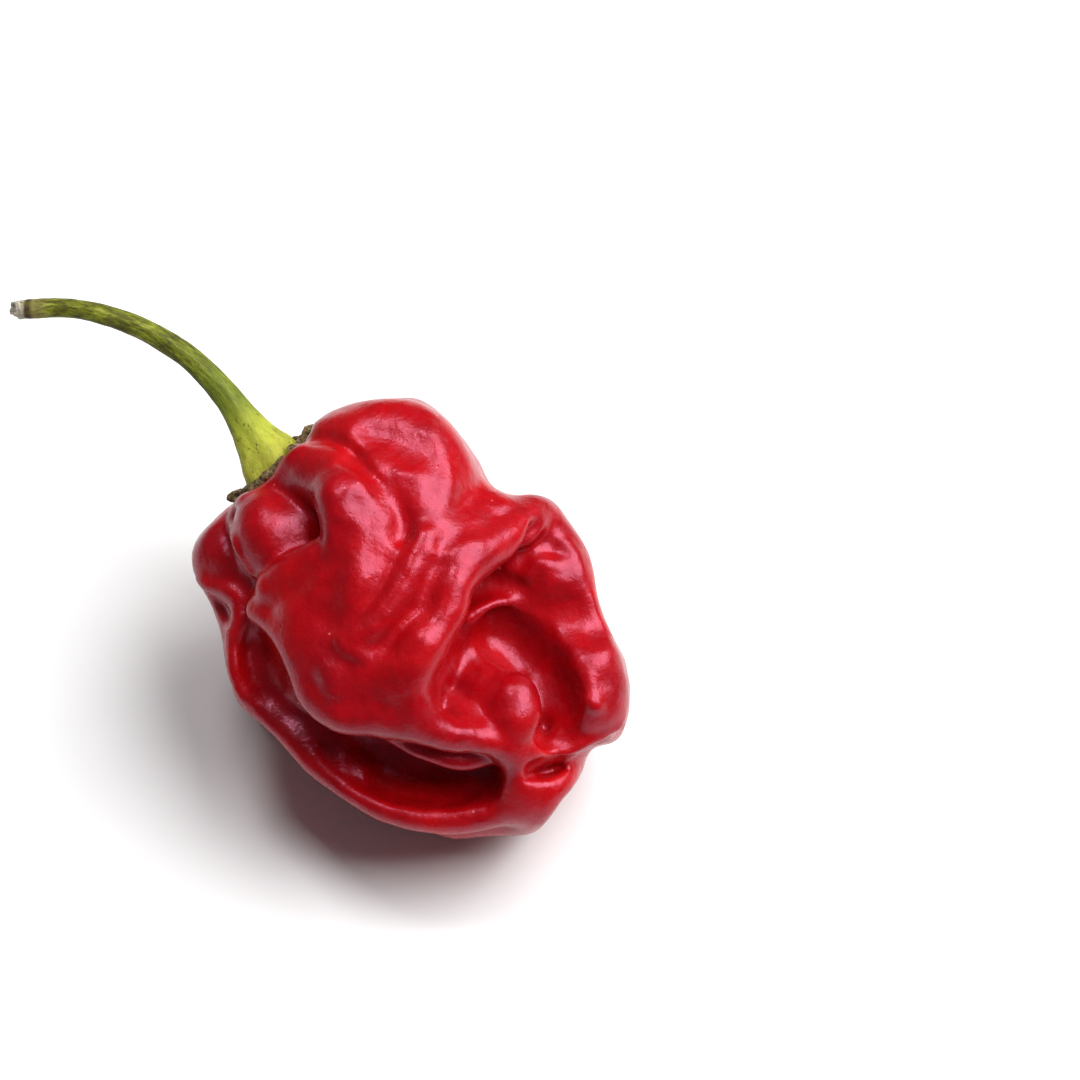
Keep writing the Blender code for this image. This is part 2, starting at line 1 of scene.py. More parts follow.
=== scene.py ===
"""The looks of a whole red hot pepper that lies on its side, with its green stalk. Metres, +Z up.

The flesh repeats the part's own clay, with a few values changed, on a finer grid and with the skin's small
creases. A plump body fills the outline, lobes and folds are blended onto it, hollows are pressed in and a
few folds are laid inside them. Each is written in millimetres in a leaning frame, (right, up, toward),
which is the camera's own: it looks down at the fruit along the toward axis, at LEAN degrees above the table.
"""

import math

import bmesh
import bpy
import numpy as np
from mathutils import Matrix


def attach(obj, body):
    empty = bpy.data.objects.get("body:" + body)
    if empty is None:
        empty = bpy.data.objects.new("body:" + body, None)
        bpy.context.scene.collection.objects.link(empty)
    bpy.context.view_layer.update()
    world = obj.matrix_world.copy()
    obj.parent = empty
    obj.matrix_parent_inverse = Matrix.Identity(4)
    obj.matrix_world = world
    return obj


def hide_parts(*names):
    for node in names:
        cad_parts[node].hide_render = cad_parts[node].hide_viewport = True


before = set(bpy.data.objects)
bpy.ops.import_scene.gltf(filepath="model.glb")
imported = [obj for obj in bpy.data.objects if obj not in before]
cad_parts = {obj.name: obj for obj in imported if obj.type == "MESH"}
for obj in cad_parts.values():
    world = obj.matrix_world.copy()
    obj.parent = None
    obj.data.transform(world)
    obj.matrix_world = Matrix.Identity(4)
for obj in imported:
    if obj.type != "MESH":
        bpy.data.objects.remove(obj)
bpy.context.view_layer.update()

import openvdb
from mathutils import Matrix, Vector, noise

MM = 0.001

LEAN = 58.0
REST_HEIGHT = 18.0
FLESH_STEP = 0.3
FLESH_SOFTNESS = 0.3
FLESH_LOW = (-26.0, -26.0, -24.0)
FLESH_HIGH = (26.0, 26.0, 24.0)

# The outline that the fruit shows along the toward axis, and the plump body inside it.
OUTLINE = [
    (-10.1, 18.3), (-9.7, 19.4), (-8.6, 20.4), (-6.9, 21.2), (-4.3, 22.0), (-1.4, 22.4), (1.0, 22.1),
    (3.2, 20.5), (4.95, 18.7), (6.8, 16.0), (7.8, 14.0), (8.9, 12.9), (10.6, 12.5), (12.7, 12.7),
    (14.2, 12.1), (15.4, 10.8), (16.6, 9.0), (17.8, 6.9), (18.4, 4.8), (18.8, 2.4), (19.3, 0.5),
    (20.3, -1.6), (21.4, -3.9), (22.0, -6.0), (22.1, -7.8), (21.8, -9.9), (21.1, -11.5), (19.9, -12.3),
    (18.8, -12.5), (18.1, -13.2), (17.2, -15.0), (16.3, -16.5), (15.1, -17.8), (14.2, -19.2),
    (12.7, -21.0),
    (10.6, -21.8), (7.3, -21.8), (4.0, -21.9), (1.6, -21.3), (-2.0, -20.6), (-5.0, -18.9), (-8.0, -16.8),
    (-10.4, -15.0), (-11.9, -13.2), (-13.1, -11.7), (-15.2, -9.9), (-17.0, -8.4), (-17.9, -6.3),
    (-18.5, -4.5), (-18.8, -2.1), (-19.4, 0.0), (-20.0, 1.5), (-20.9, 3.0), (-21.6, 4.5), (-21.9, 6.0),
    (-21.6, 7.5), (-20.6, 9.0), (-19.1, 10.5), (-17.9, 11.7), (-16.9, 12.8),
]
BODY_ROUNDING = 13.0
BODY_FRONT = 7.5
BODY_BACK = 11.5
OUTLINE_BLEND = 0.8

# Full lobes: blend, centre, radii, and turn about the toward axis in degrees.
LOBES = {
    "dome": (1.6, (-0.6, 13.2, 1.5), (8.6, 9.0, 9.4), 0),
    "shoulder_ball": (0.8, (-13.4, 8.3, 5.0), (4.2, 4.9, 5.2), 14),
    "far_left": (0.8, (-18.0, 6.8, -0.8), (4.2, 4.4, 5.0), 20),
    "flap_plate": (2.4, (-4.6, -2.2, 8.4), (9.6, 8.2, 5.4), -20),
    "right_bulge": (2.4, (17.4, -5.4, 3.8), (4.4, 7.6, 6.2), 14),
    "right_top": (2.0, (14.2, 3.4, 2.8), (4.6, 7.6, 5.8), 10),
    "cleft_fill": (1.6, (-10.0, 8.6, 4.6), (3.2, 4.2, 4.6), 0),
    "seat_pad": (1.4, (-12.2, 13.7, 0.8), (5.4, 2.3, 5.6), 40),
    "cheek": (2.4, (13.2, -16.2, 3.2), (4.6, 5.2, 5.8), 0),
    "tuck": (0.8, (19.6, -11.0, 2.4), (2.0, 1.6, 3.0), 30),
}

# Folds: blend, then points of centre and radius along the crest.
FOLDS = {
    "dome_ring": (2.4, [(-7.0, 19.2, 3.0, 2.0), (-4.2, 19.4, 4.8, 2.5), (-0.8, 19.0, 6.4, 2.8),
                        (1.9, 17.4, 7.4, 2.9), (3.4, 15.0, 8.1, 2.9), (3.6, 12.6, 8.8, 2.9),
                        (3.0, 10.2, 9.5, 2.8), (2.4, 8.6, 10.2, 2.6)]),
    "dome_inner": (2.4, [(-9.0, 18.0, 4.4, 1.8), (-6.2, 18.0, 6.4, 2.2), (-3.2, 16.6, 8.4, 2.8),
                         (-1.0, 14.6, 9.6, 3.2), (0.2, 12.6, 10.2, 3.3), (0.8, 10.8, 10.6, 3.2),
                         (1.3, 8.8, 10.8, 2.8)]),
    "calyx_fold": (1.0, [(-13.0, 14.6, 5.2, 1.0), (-10.8, 15.9, 6.8, 1.2), (-8.4, 16.0, 8.4, 1.3),
                         (-6.2, 15.0, 10.0, 1.3)]),
    "second_lobe": (1.2, [(-12.0, 14.0, 3.5, 2.6), (-9.4, 14.4, 6.4, 3.1), (-6.6, 13.2, 9.2, 3.5),
                          (-4.4, 11.0, 11.2, 3.8), (-3.4, 8.0, 12.0, 3.8), (-4.2, 5.0, 12.0, 3.6),
                          (-6.6, 2.6, 11.6, 3.4), (-9.4, 1.0, 10.4, 3.0)]),
    "flap_brow": (1.4, [(-13.6, 1.7, 7.0, 1.8), (-11.6, 3.4, 9.0, 2.0), (-9.2, 4.8, 10.6, 2.2),
                        (-7, 6.0, 11.4, 2.2)]),
    "flap_lip": (1.0, [(-14.0, 1.6, 7.2, 1.7), (-13.0, 0.2, 8.2, 1.7), (-10.9, -1.8, 10.0, 1.8),
                       (-9.4, -4.6, 11.4, 1.9), (-8.6, -7.0, 12.2, 2.0), (-6.4, -8.9, 12.8, 1.9),
                       (-3.4, -9.2, 13.0, 1.8), (0.0, -9.8, 13.0, 1.8), (3.6, -10.7, 12.6, 1.7),
                       (7.6, -11.6, 11.6, 1.5), (10, -12.0, 10.8, 1.4)]),
    "middle_ridge": (1.8, [(2.6, 9.0, 12.2, 1.8), (1.2, 6.2, 13.4, 1.9), (-0.6, 3.2, 14.0, 2.0),
                           (-2.6, 0.6, 14.0, 2.1), (-4.4, -1.4, 13.4, 2.4), (-5.4, -3.6, 12.6, 3.0)]),
    "flap_fill": (2.4, [(-9.2, -1.2, 9.2, 3.4), (-7.8, -4.6, 10.0, 3.8), (-5.0, -6.6, 11.0, 3.6),
                        (-1.4, -7.8, 11.4, 3.2)]),
    "flap_front": (2.0, [(-6.5, -3, 10.4, 4.2), (-2.5, -5.6, 11.4, 4.0), (0.0, -6.6, 12.0, 3.2)]),
    "ridge_plate": (1.4, [(8.0, 10.2, 7.6, 3.0), (5.2, 7.6, 10.4, 3.2), (2.2, 3.6, 11.2, 3.0),
                          (0.4, -0.6, 11.4, 3.0), (-1.0, -4.2, 11.8, 3.0)]),
    "long_ridge": (1.0, [(4.6, -11.4, 12.0, 1.3), (1.9, -9.8, 13.4, 1.6), (0.6, -7.2, 14.4, 1.8),
                         (1.0, -4.4, 15.0, 1.9), (2.4, -1.6, 15.2, 1.9), (4.0, 1.0, 14.8, 1.9),
                         (4.8, 3.8, 14.4, 1.9), (6.4, 6.0, 13.0, 2.0), (9.0, 7.8, 11.0, 2.0),
                         (11.2, 9.4, 8.6, 2.0), (12.4, 10.6, 6.4, 2.0)]),
    "saddle_rim": (1.4, [(7.4, 12.0, 6.0, 2.0), (10.2, 10.9, 5.6, 1.9), (13.0, 10.4, 4.6, 2.0)]),
    "right_edge": (1.6, [(13.4, 10.0, 4.6, 2.0), (15.4, 7.4, 4.5, 2.0), (16.6, 3.8, 5.4, 2.2),
                         (17.4, -1.0, 6.0, 2.8), (18.6, -5.0, 6.8, 3.2), (18.6, -8.4, 7.2, 3.0)]),
    "step": (1.8, [(5.0, -0.8, 7.8, 1.2), (6.6, 0.4, 8.6, 1.2), (8.8, 1.2, 8.6, 1.3),
                   (11.4, 0.6, 7.4, 1.6),
                   (14.0, -1.0, 6.4, 2.4), (16.0, -4.2, 7.2, 3.2), (17.0, -7.8, 7.8, 3.0)]),
    "pan_crest": (1.4, [(9.8, 5.8, 6.0, 1.6), (11.6, 7.4, 5.6, 1.6), (13.4, 9.2, 4.8, 1.6)]),
    "bottom_band": (1.0, [(9, -12.2, 10.4, 1.5), (12.5, -12.2, 9.4, 1.6), (16.4, -11.4, 7.6, 1.8),
                          (19.4, -9.8, 5.0, 1.8)]),
    "mouth_wall": (2.2, [(10.8, -12.6, 9.0, 1.6), (11.2, -15.0, 8.4, 1.9), (10.8, -17.4, 6.6, 2.2)]),
    "lower_rim": (1.2, [(-15.8, -7.0, 1.5, 2.2), (-12.4, -10.6, 3.2, 2.2), (-9.2, -13.8, 4.8, 2.0),
                        (-6.0, -16.2, 5.8, 1.8), (-2.6, -18.2, 6.2, 1.7), (1.4, -19.2, 6.2, 1.7),
                        (5.0, -19.4, 6.0, 1.8), (8.4, -18.6, 6.0, 1.9), (10.6, -17.2, 6.4, 2.0)]),
    "back_upper": (1.8, [(-11.5, 13.6, -3.0, 3.4), (-6.0, 15.6, -6.4, 4.7), (0.5, 13.6, -9.2, 5.0),
                         (6.5, 8.6, -10.2, 4.7), (11.5, 2.6, -9.6, 5.2), (15.8, -4.0, -5.6, 4.6),
                         (17.2, -10, -1.0, 3.4)]),
    "back_middle": (1.8, [(-13.5, 10.4, -3.6, 3.4), (-9.5, 7.4, -9.0, 4.8), (-4.0, 3.4, -12.0, 5.2),
                          (1.6, -2.6, -13.3, 5.3), (6.5, -8.0, -10.9, 4.9), (11.4, -13.0, -7.4, 4.8),
                          (13.6, -17.0, -2.0, 3.0)]),
    "back_lower": (1.8, [(-17.4, 6.0, -3.2, 3.6), (-15.6, -0.4, -6.6, 4.3), (-11.4, -5.6, -9.8, 4.7),
                         (-6.0, -10.0, -9.7, 4.8), (-0.4, -14.4, -7.4, 4.6), (4.6, -17.6, -4.4, 3.8),
                         (6.0, -18.6, 0.0, 3.0)]),
    "rest_pad": (2.0, [(-1.0, -9.2, -10.0, 5.2), (3.5, -6.6, -11.5, 5.2)]),
    "seat_edge": (1.2, [(-15.4, 11.9, -2.6, 2.4), (-15.8, 11.6, 0.8, 2.4), (-15.0, 12.2, 3.6, 2.2)]),
    "front_left": (1.8, [(-16.6, 3.0, 1.0, 3.0), (-15.6, -2.6, -0.6, 3.2), (-12.6, -7.4, -1.6, 3.6),
                         (-8.0, -12.6, -1.8, 4.0), (-3.6, -16.4, 0.0, 3.4)]),
    "crown_fold": (1.0, [(-8.2, 17.2, 1.0, 2.6), (-3.4, 18.6, -2.6, 3.0), (3.0, 16.4, -4.2, 3.0),
                         (7.2, 11.4, -2.6, 2.8), (11.4, 8.8, -1.0, 3.0)]),
    "left_seam": (0.8, [(-17.2, 2.4, 4.5, 1.2), (-17.2, -1.0, 4.2, 1.2), (-17.0, -4.6, 3.6, 1.3),
                        (-15.4, -7.6, 3.4, 1.4)]),
}

# Hollows, pressed in after all of that: blend, then points of centre and radius.
HOLLOWS = {
    "shoulder_cleft": (1.6, [(-13.2, 13.4, 8.8, 0.8), (-11.8, 12.2, 11.2, 1.3), (-10.9, 10.8, 12.8, 1.4),
                             (-10.5, 9.4, 14.2, 1.0)]),
    "left_crease": (0.6, [(-17.2, 11.0, 4.6, 0.5), (-17.9, 8.2, 5.6, 0.6), (-17.3, 5.0, 6.4, 0.6),
                          (-15.6, 3.0, 7.6, 0.5)]),
    "dome_pan": (2.6, [(-3.6, 18.9, 11.4, 1.5), (-1.8, 18.2, 12.2, 1.6), (0.0, 17.2, 13.0, 1.3)]),
    "dimple": (0.6, [(0.0, 13.8, 13.7, 0.6), (0.2, 13.2, 13.9, 0.6)]),
    "bowl": (1.2, [(6.8, 2.4, 10.8, 1.5), (8.6, 3.2, 10.4, 1.6), (11.6, 3.4, 10.4, 1.4),
                   (14.4, 3.4, 10.6, 1.2)]),
    "ridge_crease": (0.8, [(8.6, 5.6, 10.0, 0.9), (10.8, 7.4, 10.0, 0.8), (12.8, 9.6, 9.4, 0.6)]),
    "bowl_low": (1.8, [(9.0, -1.4, 11.8, 1.4), (11.8, -2.8, 11.4, 3.0), (13.8, -5.6, 11.4, 2.8),
                       (14.4, -8.2, 11.8, 1.2)]),
    "bowl_edge": (0.8, [(5.6, -1.8, 12.4, 1.2), (4.4, -4.6, 12.4, 1.4), (4.1, -7.4, 13.0, 1.3),
                        (5.3, -9.2, 13.4, 0.9)]),
    "mouth": (0.8, [(-9.2, -10.0, 7.8, 1.8), (-6, -12.4, 8.0, 2.8), (-1.6, -14.0, 7.6, 3.8),
                    (3.4, -14.6, 7.6, 4.0), (6.0, -14.6, 8.0, 3.2)]),
    "mouth_end": (0.5, [(6.4, -12.8, 8.8, 2.6), (6.8, -16.2, 8.6, 2.3)]),
    "pit_dent": (1.0, [(12.6, -14.9, 10.2, 1.0), (15.0, -14.4, 9.5, 1.0)]),
    "pit": (0.35, [(11.5, -15.4, 9.5, 0.3), (12.8, -15.1, 8.9, 0.55), (14.0, -14.8, 8.4, 0.75),
                   (15.2, -14.4, 8.1, 0.6)]),
    "pit_depth": (0.3, [(12.6, -15.1, 8.0, 0.45), (13.9, -14.8, 7.2, 0.65), (15.1, -14.4, 7.2, 0.5)]),
    "under_flap": (1.0, [(-15.4, -1.6, 7.2, 1.0), (-14.2, -4.4, 7.8, 1.8), (-12.6, -7.6, 8.2, 2.0),
                         (-10.6, -10.4, 8.4, 2.0)]),
    "back_dent": (1.4, [(2.5, 5.5, -16.5, 1.6), (6.0, 2.6, -16.2, 1.8), (8.0, -1.6, -15.6, 1.4)]),
    "side_dent": (1.2, [(21.0, -1.0, -3.0, 1.4), (20.8, -5.2, -4.6, 1.8)]),
    "low_dent": (1.2, [(3.6, -13.6, -13.0, 1.4), (7.4, -16.2, -9.4, 1.5)]),
    "left_dent": (1.0, [(-18.6, 3.6, -7.4, 1.2), (-15.0, 4.2, -9.6, 1.6), (-12.4, 1.4, -12.6, 1.2)]),
    "under_far_left": (0.8, [(-19.6, 1.2, 4.6, 0.8), (-17.6, 2.0, 6.4, 1.2)]),
}

# Folds laid in after the hollows.
INNER_FOLDS = {
    "nose_mound": (1.6, [(5.4, -3.0, 6.0, 1.4), (6.7, -5.0, 6.5, 2.2), (7.8, -7.2, 7.2, 3.3),
                         (8.8, -9.2, 7.9, 3.6), (9.4, -10.8, 8.2, 3.0)]),
    "nose": (1.0, [(7.4, -1.2, 6.6, 0.8), (9.2, -2.5, 7.0, 1.0), (10.8, -4.4, 7.8, 1.5),
                   (11.2, -6.4, 8.9, 2.2), (11.0, -8.2, 9.7, 2.5), (10.4, -9.8, 10.1, 2.5)]),
    "nose_side": (1.0, [(4.6, -8.8, 9.6, 1.5), (5.7, -10.1, 10.2, 1.8), (7.2, -11.0, 10.4, 1.6)]),
    "tongue_root": (0.8, [(-0.6, -10.2, 9.2, 1.2), (1.8, -11.4, 9.4, 1.3), (4.6, -12.2, 9.2, 1.3),
                          (7.6, -12.2, 8.8, 1.4)]),
    "tongue": (0.6, [(-2.4, -10.6, 9.4, 0.9), (0.2, -12.2, 10.0, 0.9), (2.8, -13.3, 10.0, 0.9),
                     (5.6, -13.8, 9.6, 0.9), (8.4, -13.0, 8.8, 1.1)]),
    "mouth_bump": (1.4, [(-8.8, -10.8, 4.2, 1.5), (-6.8, -13.2, 4.2, 1.5), (-5.2, -15.0, 4.6, 1.4)]),
}

# The stalk's middle line from its dry tip to the seat, with its radius.
STALK = [
    (-40.3, 31.25, -3.2, 0.7), (-39.2, 31.2, -3.0, 0.92), (-37.9, 31.2, -2.7, 0.98),
    (-35.1, 31.3, -2.2, 0.97), (-32.1, 30.9, -1.5, 1.0), (-29.0, 30.0, -1.0, 1.08),
    (-26.0, 28.7, -0.6, 1.12), (-23.5, 27.2, -0.2, 1.2), (-21.5, 25.7, 0.1, 1.22),
    (-19.7, 23.9, 0.3, 1.3),
    (-18.1, 22.0, 0.5, 1.42), (-17.1, 20.6, 0.6, 1.6), (-16.1, 19.1, 0.7, 1.9),
    (-15.25, 17.8, 0.8, 2.35),
    (-14.5, 16.7, 0.8, 2.9), (-13.95, 15.85, 0.8, 3.2), (-13.5, 15.18, 0.8, 3.4),
]
STALK_RIBS = 5
STALK_RIB_DEPTH = 0.07

# The hollow in the stalk's torn tip: its depth, then rings from its bottom to its rim, as shares of that
# depth and of the tip's radius.
TIP_HOLLOW = 0.6
TIP_CUP = [(1.0, 0.4), (0.5, 0.6), (0.0, 0.7)]

# The flat seat that the calyx stands on.
SEAT = (-13.3, 14.95, 0.8)
SEAT_AXIS = (-0.65, 0.76, 0.06)

# The withered edge of the calyx, at equal turns about the seat axis: outer radius and height above the seat.
RIM = [
    (4.6, 1.3), (4.9, 1.1), (4.4, 0.8), (4.5, 0.9), (4.2, 0.7), (4.5, 0.8), (4.3, 0.7), (4.5, 0.95),
    (4.2, 0.7), (4.4, 0.8), (4.6, 1.1), (4.9, 1.5), (5.0, 1.9), (4.9, 1.6), (4.5, 1.2), (4.6, 0.9),
    (4.3, 0.8), (4.6, 1.0), (4.2, 0.7), (4.5, 0.9), (4.3, 0.7), (4.6, 1.0), (4.3, 0.8), (4.4, 0.9),
]

# Fuller and emptier places of the skin, made before the strokes: blend, then points of centre and radius.
FINE_FOLDS = {
    "saddle_valley": (2.2, [(4.4, 6.2, 11.0, 3.0), (2.2, 3.4, 11.8, 3.0), (-0.4, 0.4, 12.0, 3.0),
                            (-2.6, -2.8, 12.0, 3.0)]),
    "flap_point": (0.8, [(-15.0, 1.0, 7.6, 1.1), (-13.6, 0.2, 8.8, 1.2), (-12.2, -0.8, 10.0, 1.2)]),
}
FINE_HOLLOWS = {
    "flap_notch": (0.8, [(-15.6, -2.4, 8.8, 1.8), (-14.3, -4.0, 9.6, 2.2), (-13.5, -6.0, 10.4, 2.2),
                         (-12.6, -8.4, 11.0, 1.8)]),
}

# Strokes on the face of the flesh: blend, rise of a ridge or, below zero, depth of a crease, half width, and
# places, (right, up).
STROKES = {
    "dome_edge": (1.0, 0.25, 1.0, [(2.0, 18.4), (2.8, 16.8), (3.4, 15.2), (3.7, 13.6), (3.4, 12.0)]),
    "dome_valley": (1.0, -0.5, 1.3, [(-5.4, 16.2), (-3.8, 15.0), (-2.6, 13.6), (-1.4, 12.0),
                                     (-0.6, 10.4), (-0.5, 8.8)]),
    "dome_line": (0.5, 0.15, 0.5, [(-3.6, 15.8), (-2.6, 14.6), (-1.8, 13.4), (-1.4, 12.2)]),
    "calyx_crease": (0.6, -0.4, 0.7, [(-10.6, 17.8), (-8.6, 17.9), (-6.8, 17.4), (-5.4, 16.4)]),
    "calyx_ridge": (0.7, 0.35, 0.6, [(-12.0, 16.2), (-11.0, 17.0), (-9.8, 17.2), (-8.4, 17.0),
                                     (-7.0, 16.4), (-5.8, 15.4)]),
    "lobe_bulge": (1.8, 0.5, 2.4, [(-6.4, 11.8), (-6.0, 9.4), (-5.5, 7.0), (-5.5, 4.8), (-6.0, 3.0)]),
    "lobe_flat": (1.8, -0.35, 2.2, [(-3.6, 11.4), (-3.2, 9.4), (-3.1, 7.4)]),
    "lobe_edge": (0.6, 0.15, 0.5, [(-3.4, 12.8), (-2.3, 11.5), (-1.8, 10.0), (-1.7, 8.8)]),
    "brow_valley": (1.6, -0.45, 1.8, [(-6.6, 8.4), (-7.3, 6.4), (-7.9, 4.2), (-8.4, 2.0)]),
    "brow": (1.2, 0.3, 1.6, [(-13.4, 3.4), (-11.2, 5.0), (-9.0, 6.3)]),
    "middle_crest": (1.2, 0.6, 1.0, [(1.8, 8.2), (1.1, 6.6), (0.5, 5.0), (-0.4, 3.4), (-1.5, 1.8),
                                     (-2.5, 0.4), (-3.6, -0.7), (-4.8, -1.3)]),
    "crest_bump_left": (0.6, 0.4, 0.8, [(-6.3, -2.0), (-5.8, -2.7)]),
    "crest_bump_right": (0.6, 0.3, 0.7, [(-4.8, -2.8), (-4.4, -3.4)]),
    "saddle_bump_left": (0.6, 0.25, 0.7, [(2.0, 6.9), (2.9, 6.3)]),
    "saddle_bump_right": (0.7, 0.3, 0.9, [(4.4, 6.3), (5.6, 7.1), (6.8, 7.3)]),
    "flap_swell": (2.0, 0.6, 1.8, [(1.4, -2.4), (0.6, -3.6), (-0.4, -4.6), (-1.2, -5.3)]),
    "flap_low_swell": (1.2, 0.2, 1.2, [(-7.4, -5.0), (-7.0, -6.2)]),
    "ledge_dent": (2.0, -1.1, 3.0, [(12.2, 0.6), (14.0, -0.2), (15.3, -1.5)]),
    "wall_crest": (0.7, 0.3, 0.7, [(15.1, -1.0), (15.7, -2.6), (16.7, -3.7), (17.0, -4.8),
                                   (17.8, -5.8), (18.1, -7.0), (18.5, -8.2)]),
    "wall_bump_high": (0.5, 0.3, 0.6, [(16.5, -3.5), (17.0, -4.3)]),
    "wall_bump_low": (0.5, 0.3, 0.7, [(17.9, -7.8), (18.4, -8.3)]),
    "pan_bump_wide": (0.7, 0.4, 0.8, [(12.3, 5.3), (13.6, 5.7), (14.9, 6.1)]),
    "pan_bump_left": (0.5, 0.35, 0.6, [(10.2, 5.1), (10.8, 5.6)]),
    "pan_bump_low": (0.5, 0.3, 0.5, [(11.2, 4.6), (11.9, 4.4)]),
    "pan_bump_right": (0.7, 0.35, 0.8, [(15.5, 7.3), (16.3, 6.2), (16.6, 5.0)]),
    "pan_dent": (0.8, -0.4, 0.9, [(14.0, 7.4), (15.0, 6.9)]),
    "nose_moat": (1.6, -1.6, 2.2, [(9.2, -1.0), (11.0, -2.3), (12.6, -4.2), (13.9, -6.4), (14.6, -8.4)]),
    "nose_dent": (1.2, -0.5, 1.8, [(9.0, -1.8), (10.2, -2.6), (11.4, -3.8)]),
    "wall_fill": (1.6, 0.3, 2.2, [(18.0, -2.8), (18.4, -3.8)]),
    "nose_tip": (1.2, 0.45, 2.6, [(10.4, -7.9), (10.7, -9.2)]),
    "nose_side_tip": (0.6, 0.3, 0.8, [(5.5, -9.8), (5.8, -11.0)]),
    "tuck_ridge": (0.5, 0.4, 0.5, [(21.4, -9.2), (20.9, -10.4), (19.6, -11.3), (17.8, -11.9),
                                   (16.4, -12.6), (15.4, -13.0)]),
    "tuck_crease": (0.4, -0.9, 0.5, [(21.4, -10.6), (20.4, -11.6), (18.8, -12.3), (17.2, -12.9)]),
    "rim_dent": (1.6, -0.5, 2.4, [(16.6, 1.0), (18.2, 0.2)]),
    "step_crest": (0.4, 0.4, 0.5, [(5.7, 0.0), (6.5, 0.8), (7.5, 1.4), (8.7, 1.8), (9.9, 1.8)]),
    "chin_dent": (1.2, -0.9, 1.6, [(13.6, -10.9), (15.2, -11.3)]),
    "chin_crease": (0.3, 0.25, 0.35, [(14.6, -11.4), (15.3, -10.8), (16.0, -10.1)]),
    "saddle_crest": (0.6, 0.3, 0.6, [(8.8, 10.8), (9.8, 11.3), (10.8, 11.9), (11.8, 12.4)]),
    "mouth_rib": (0.7, 0.4, 0.8, [(-6.6, -11.8), (-7.0, -13.2), (-6.6, -14.8)]),
    "far_left_edge": (0.6, 0.4, 0.7, [(-21.0, 4.0), (-19.9, 3.5), (-18.6, 3.3), (-17.4, 2.7),
                                      (-16.6, 1.4), (-16.5, 0.0)]),
    "far_left_pocket": (0.6, -1.4, 0.9, [(-19.7, 1.9), (-18.9, 1.3), (-18.3, 0.3)]),
    "left_fold": (0.7, 0.45, 0.7, [(-16.5, 0.2), (-16.8, -1.8), (-17.2, -3.8), (-17.2, -5.8),
                                   (-16.6, -7.6)]),
    "left_moat": (1.0, -0.8, 1.5, [(-15.4, -2.8), (-14.8, -5.0), (-13.9, -7.0)]),
    "ball_crease": (0.4, -0.4, 0.5, [(-18.2, 10.6), (-18.2, 9.0), (-17.8, 7.4), (-17.0, 5.8),
                                     (-16.0, 4.4)]),
    "ball_edge": (0.4, 0.25, 0.45, [(-16.6, 12.0), (-17.5, 11.2), (-17.7, 9.8), (-17.3, 8.0),
                                    (-16.5, 6.2), (-15.5, 4.6)]),
}

# The flesh is cut flat under the calyx.
SEAT_RADIUS = 5.5
SEAT_BLEND = 0.5

# The skin's unevenness: wavelength and height in millimetres.
SKIN_WAVES = [(5.0, 0.14), (2.2, 0.075), (0.9, 0.022)]
SKIN_SEED = 7.3

# The stalk's finish: its sides and the points between its rings, then its unevenness and that of its tip.
STALK_SIDES = 64
STALK_SPANS = 12
STALK_WAVES = [(2.6, 0.07), (0.8, 0.03)]
STALK_SEED = 3.1
TIP_WAVES = [(0.7, 0.3), (0.3, 0.12)]
TIP_SEED = 5.7
# The torn tip slants inward over its length: the most it does, then its level part and its tilt as shares.
TIP_LENGTH = 2.0
TIP_SLANT = 1.0
TIP_SLANT_LEVEL = 0.35
TIP_SLANT_TILT = 0.5
# The length that the stalk's colours are spread over, in millimetres.
STALK_LENGTH = 34.0

# The crust on the withered calyx edge, in the seat's own frame.
RIM_STEP = 0.14
RIM_LOW = (-6.4, -6.4, -1.2)
RIM_HIGH = (6.4, 6.4, 3.4)
RIM_TOP = 1.15
RIM_ROPE = 0.28
RIM_BLEND = 0.3
RIM_SOFTNESS = 0.08
RIM_WAVES = [(0.9, 0.18), (0.35, 0.09)]
RIM_SEED = 2.2
# The rim's ropes, as shares of its width from the stalk outward and of its height.
RIM_NEAR = 3.7
RIM_ROWS = [(0.0, 0.15), (0.35, 0.3), (0.7, 0.5), (1.0, 0.2), (0.85, 1.0)]
# Crumbs of dead calyx: turn about the seat in degrees, distance from its middle, height, step and number.
CRUMBS = {
    "lump": (174, 4.7, 0.9, 0.34, 60),
    "tooth": (6, 4.9, 0.6, 0.26, 16),
    "front": (130, 4.3, 0.4, 0.3, 12),
}
CRUMB_RADII = (0.16, 0.40)
CRUMB_BLEND = 0.12
CRUMB_SEED = 11

# The camera looks at this place, (right, up), from this far, and sees this width there, in millimetres.
VIEW_POINT = (13.0, 8.0)
VIEW_DISTANCE = 600.0
VIEW_WIDTH = 108.0
SENSOR = 36.0
CLIP_START = 0.01

FLOOR_SIDE = 1.6
FLOOR_GREYS = [(0.3, 0.80), (0.7, 0.83)]

# Square lamps, aimed at the fruit: place, size and power.
LIGHTS = {
    "main_box": ((0.25, 0.05, 0.42), 0.42, 4.6),
    "back_box": ((-0.10, 0.12, 0.40), 0.11, 0.6),
}
LIGHT_AIM = (0, 0, 0.018)
SKY_COLOUR = (0.95, 0.95, 1.0, 1)
SKY_STRENGTH = 0.11

# The clay's grid: the distance it holds where nothing is near, and how far a form reaches past its edge.
FAR = 9.0
MARGIN = 4
TINY = 1e-6
CURVE_SPANS = 4


def smooth_union(a, b, blend):
    """The lower of two distances, rounded where they meet."""
    share = np.clip(0.5 + 0.5 * (b - a) / blend, 0, 1)
    return b + (a - b) * share - blend * share * (1 - share)


def smooth_cut(a, b, blend):
    """The distance to a with b taken out of it, rounded along the rim."""
    return -smooth_union(-a, b, blend)


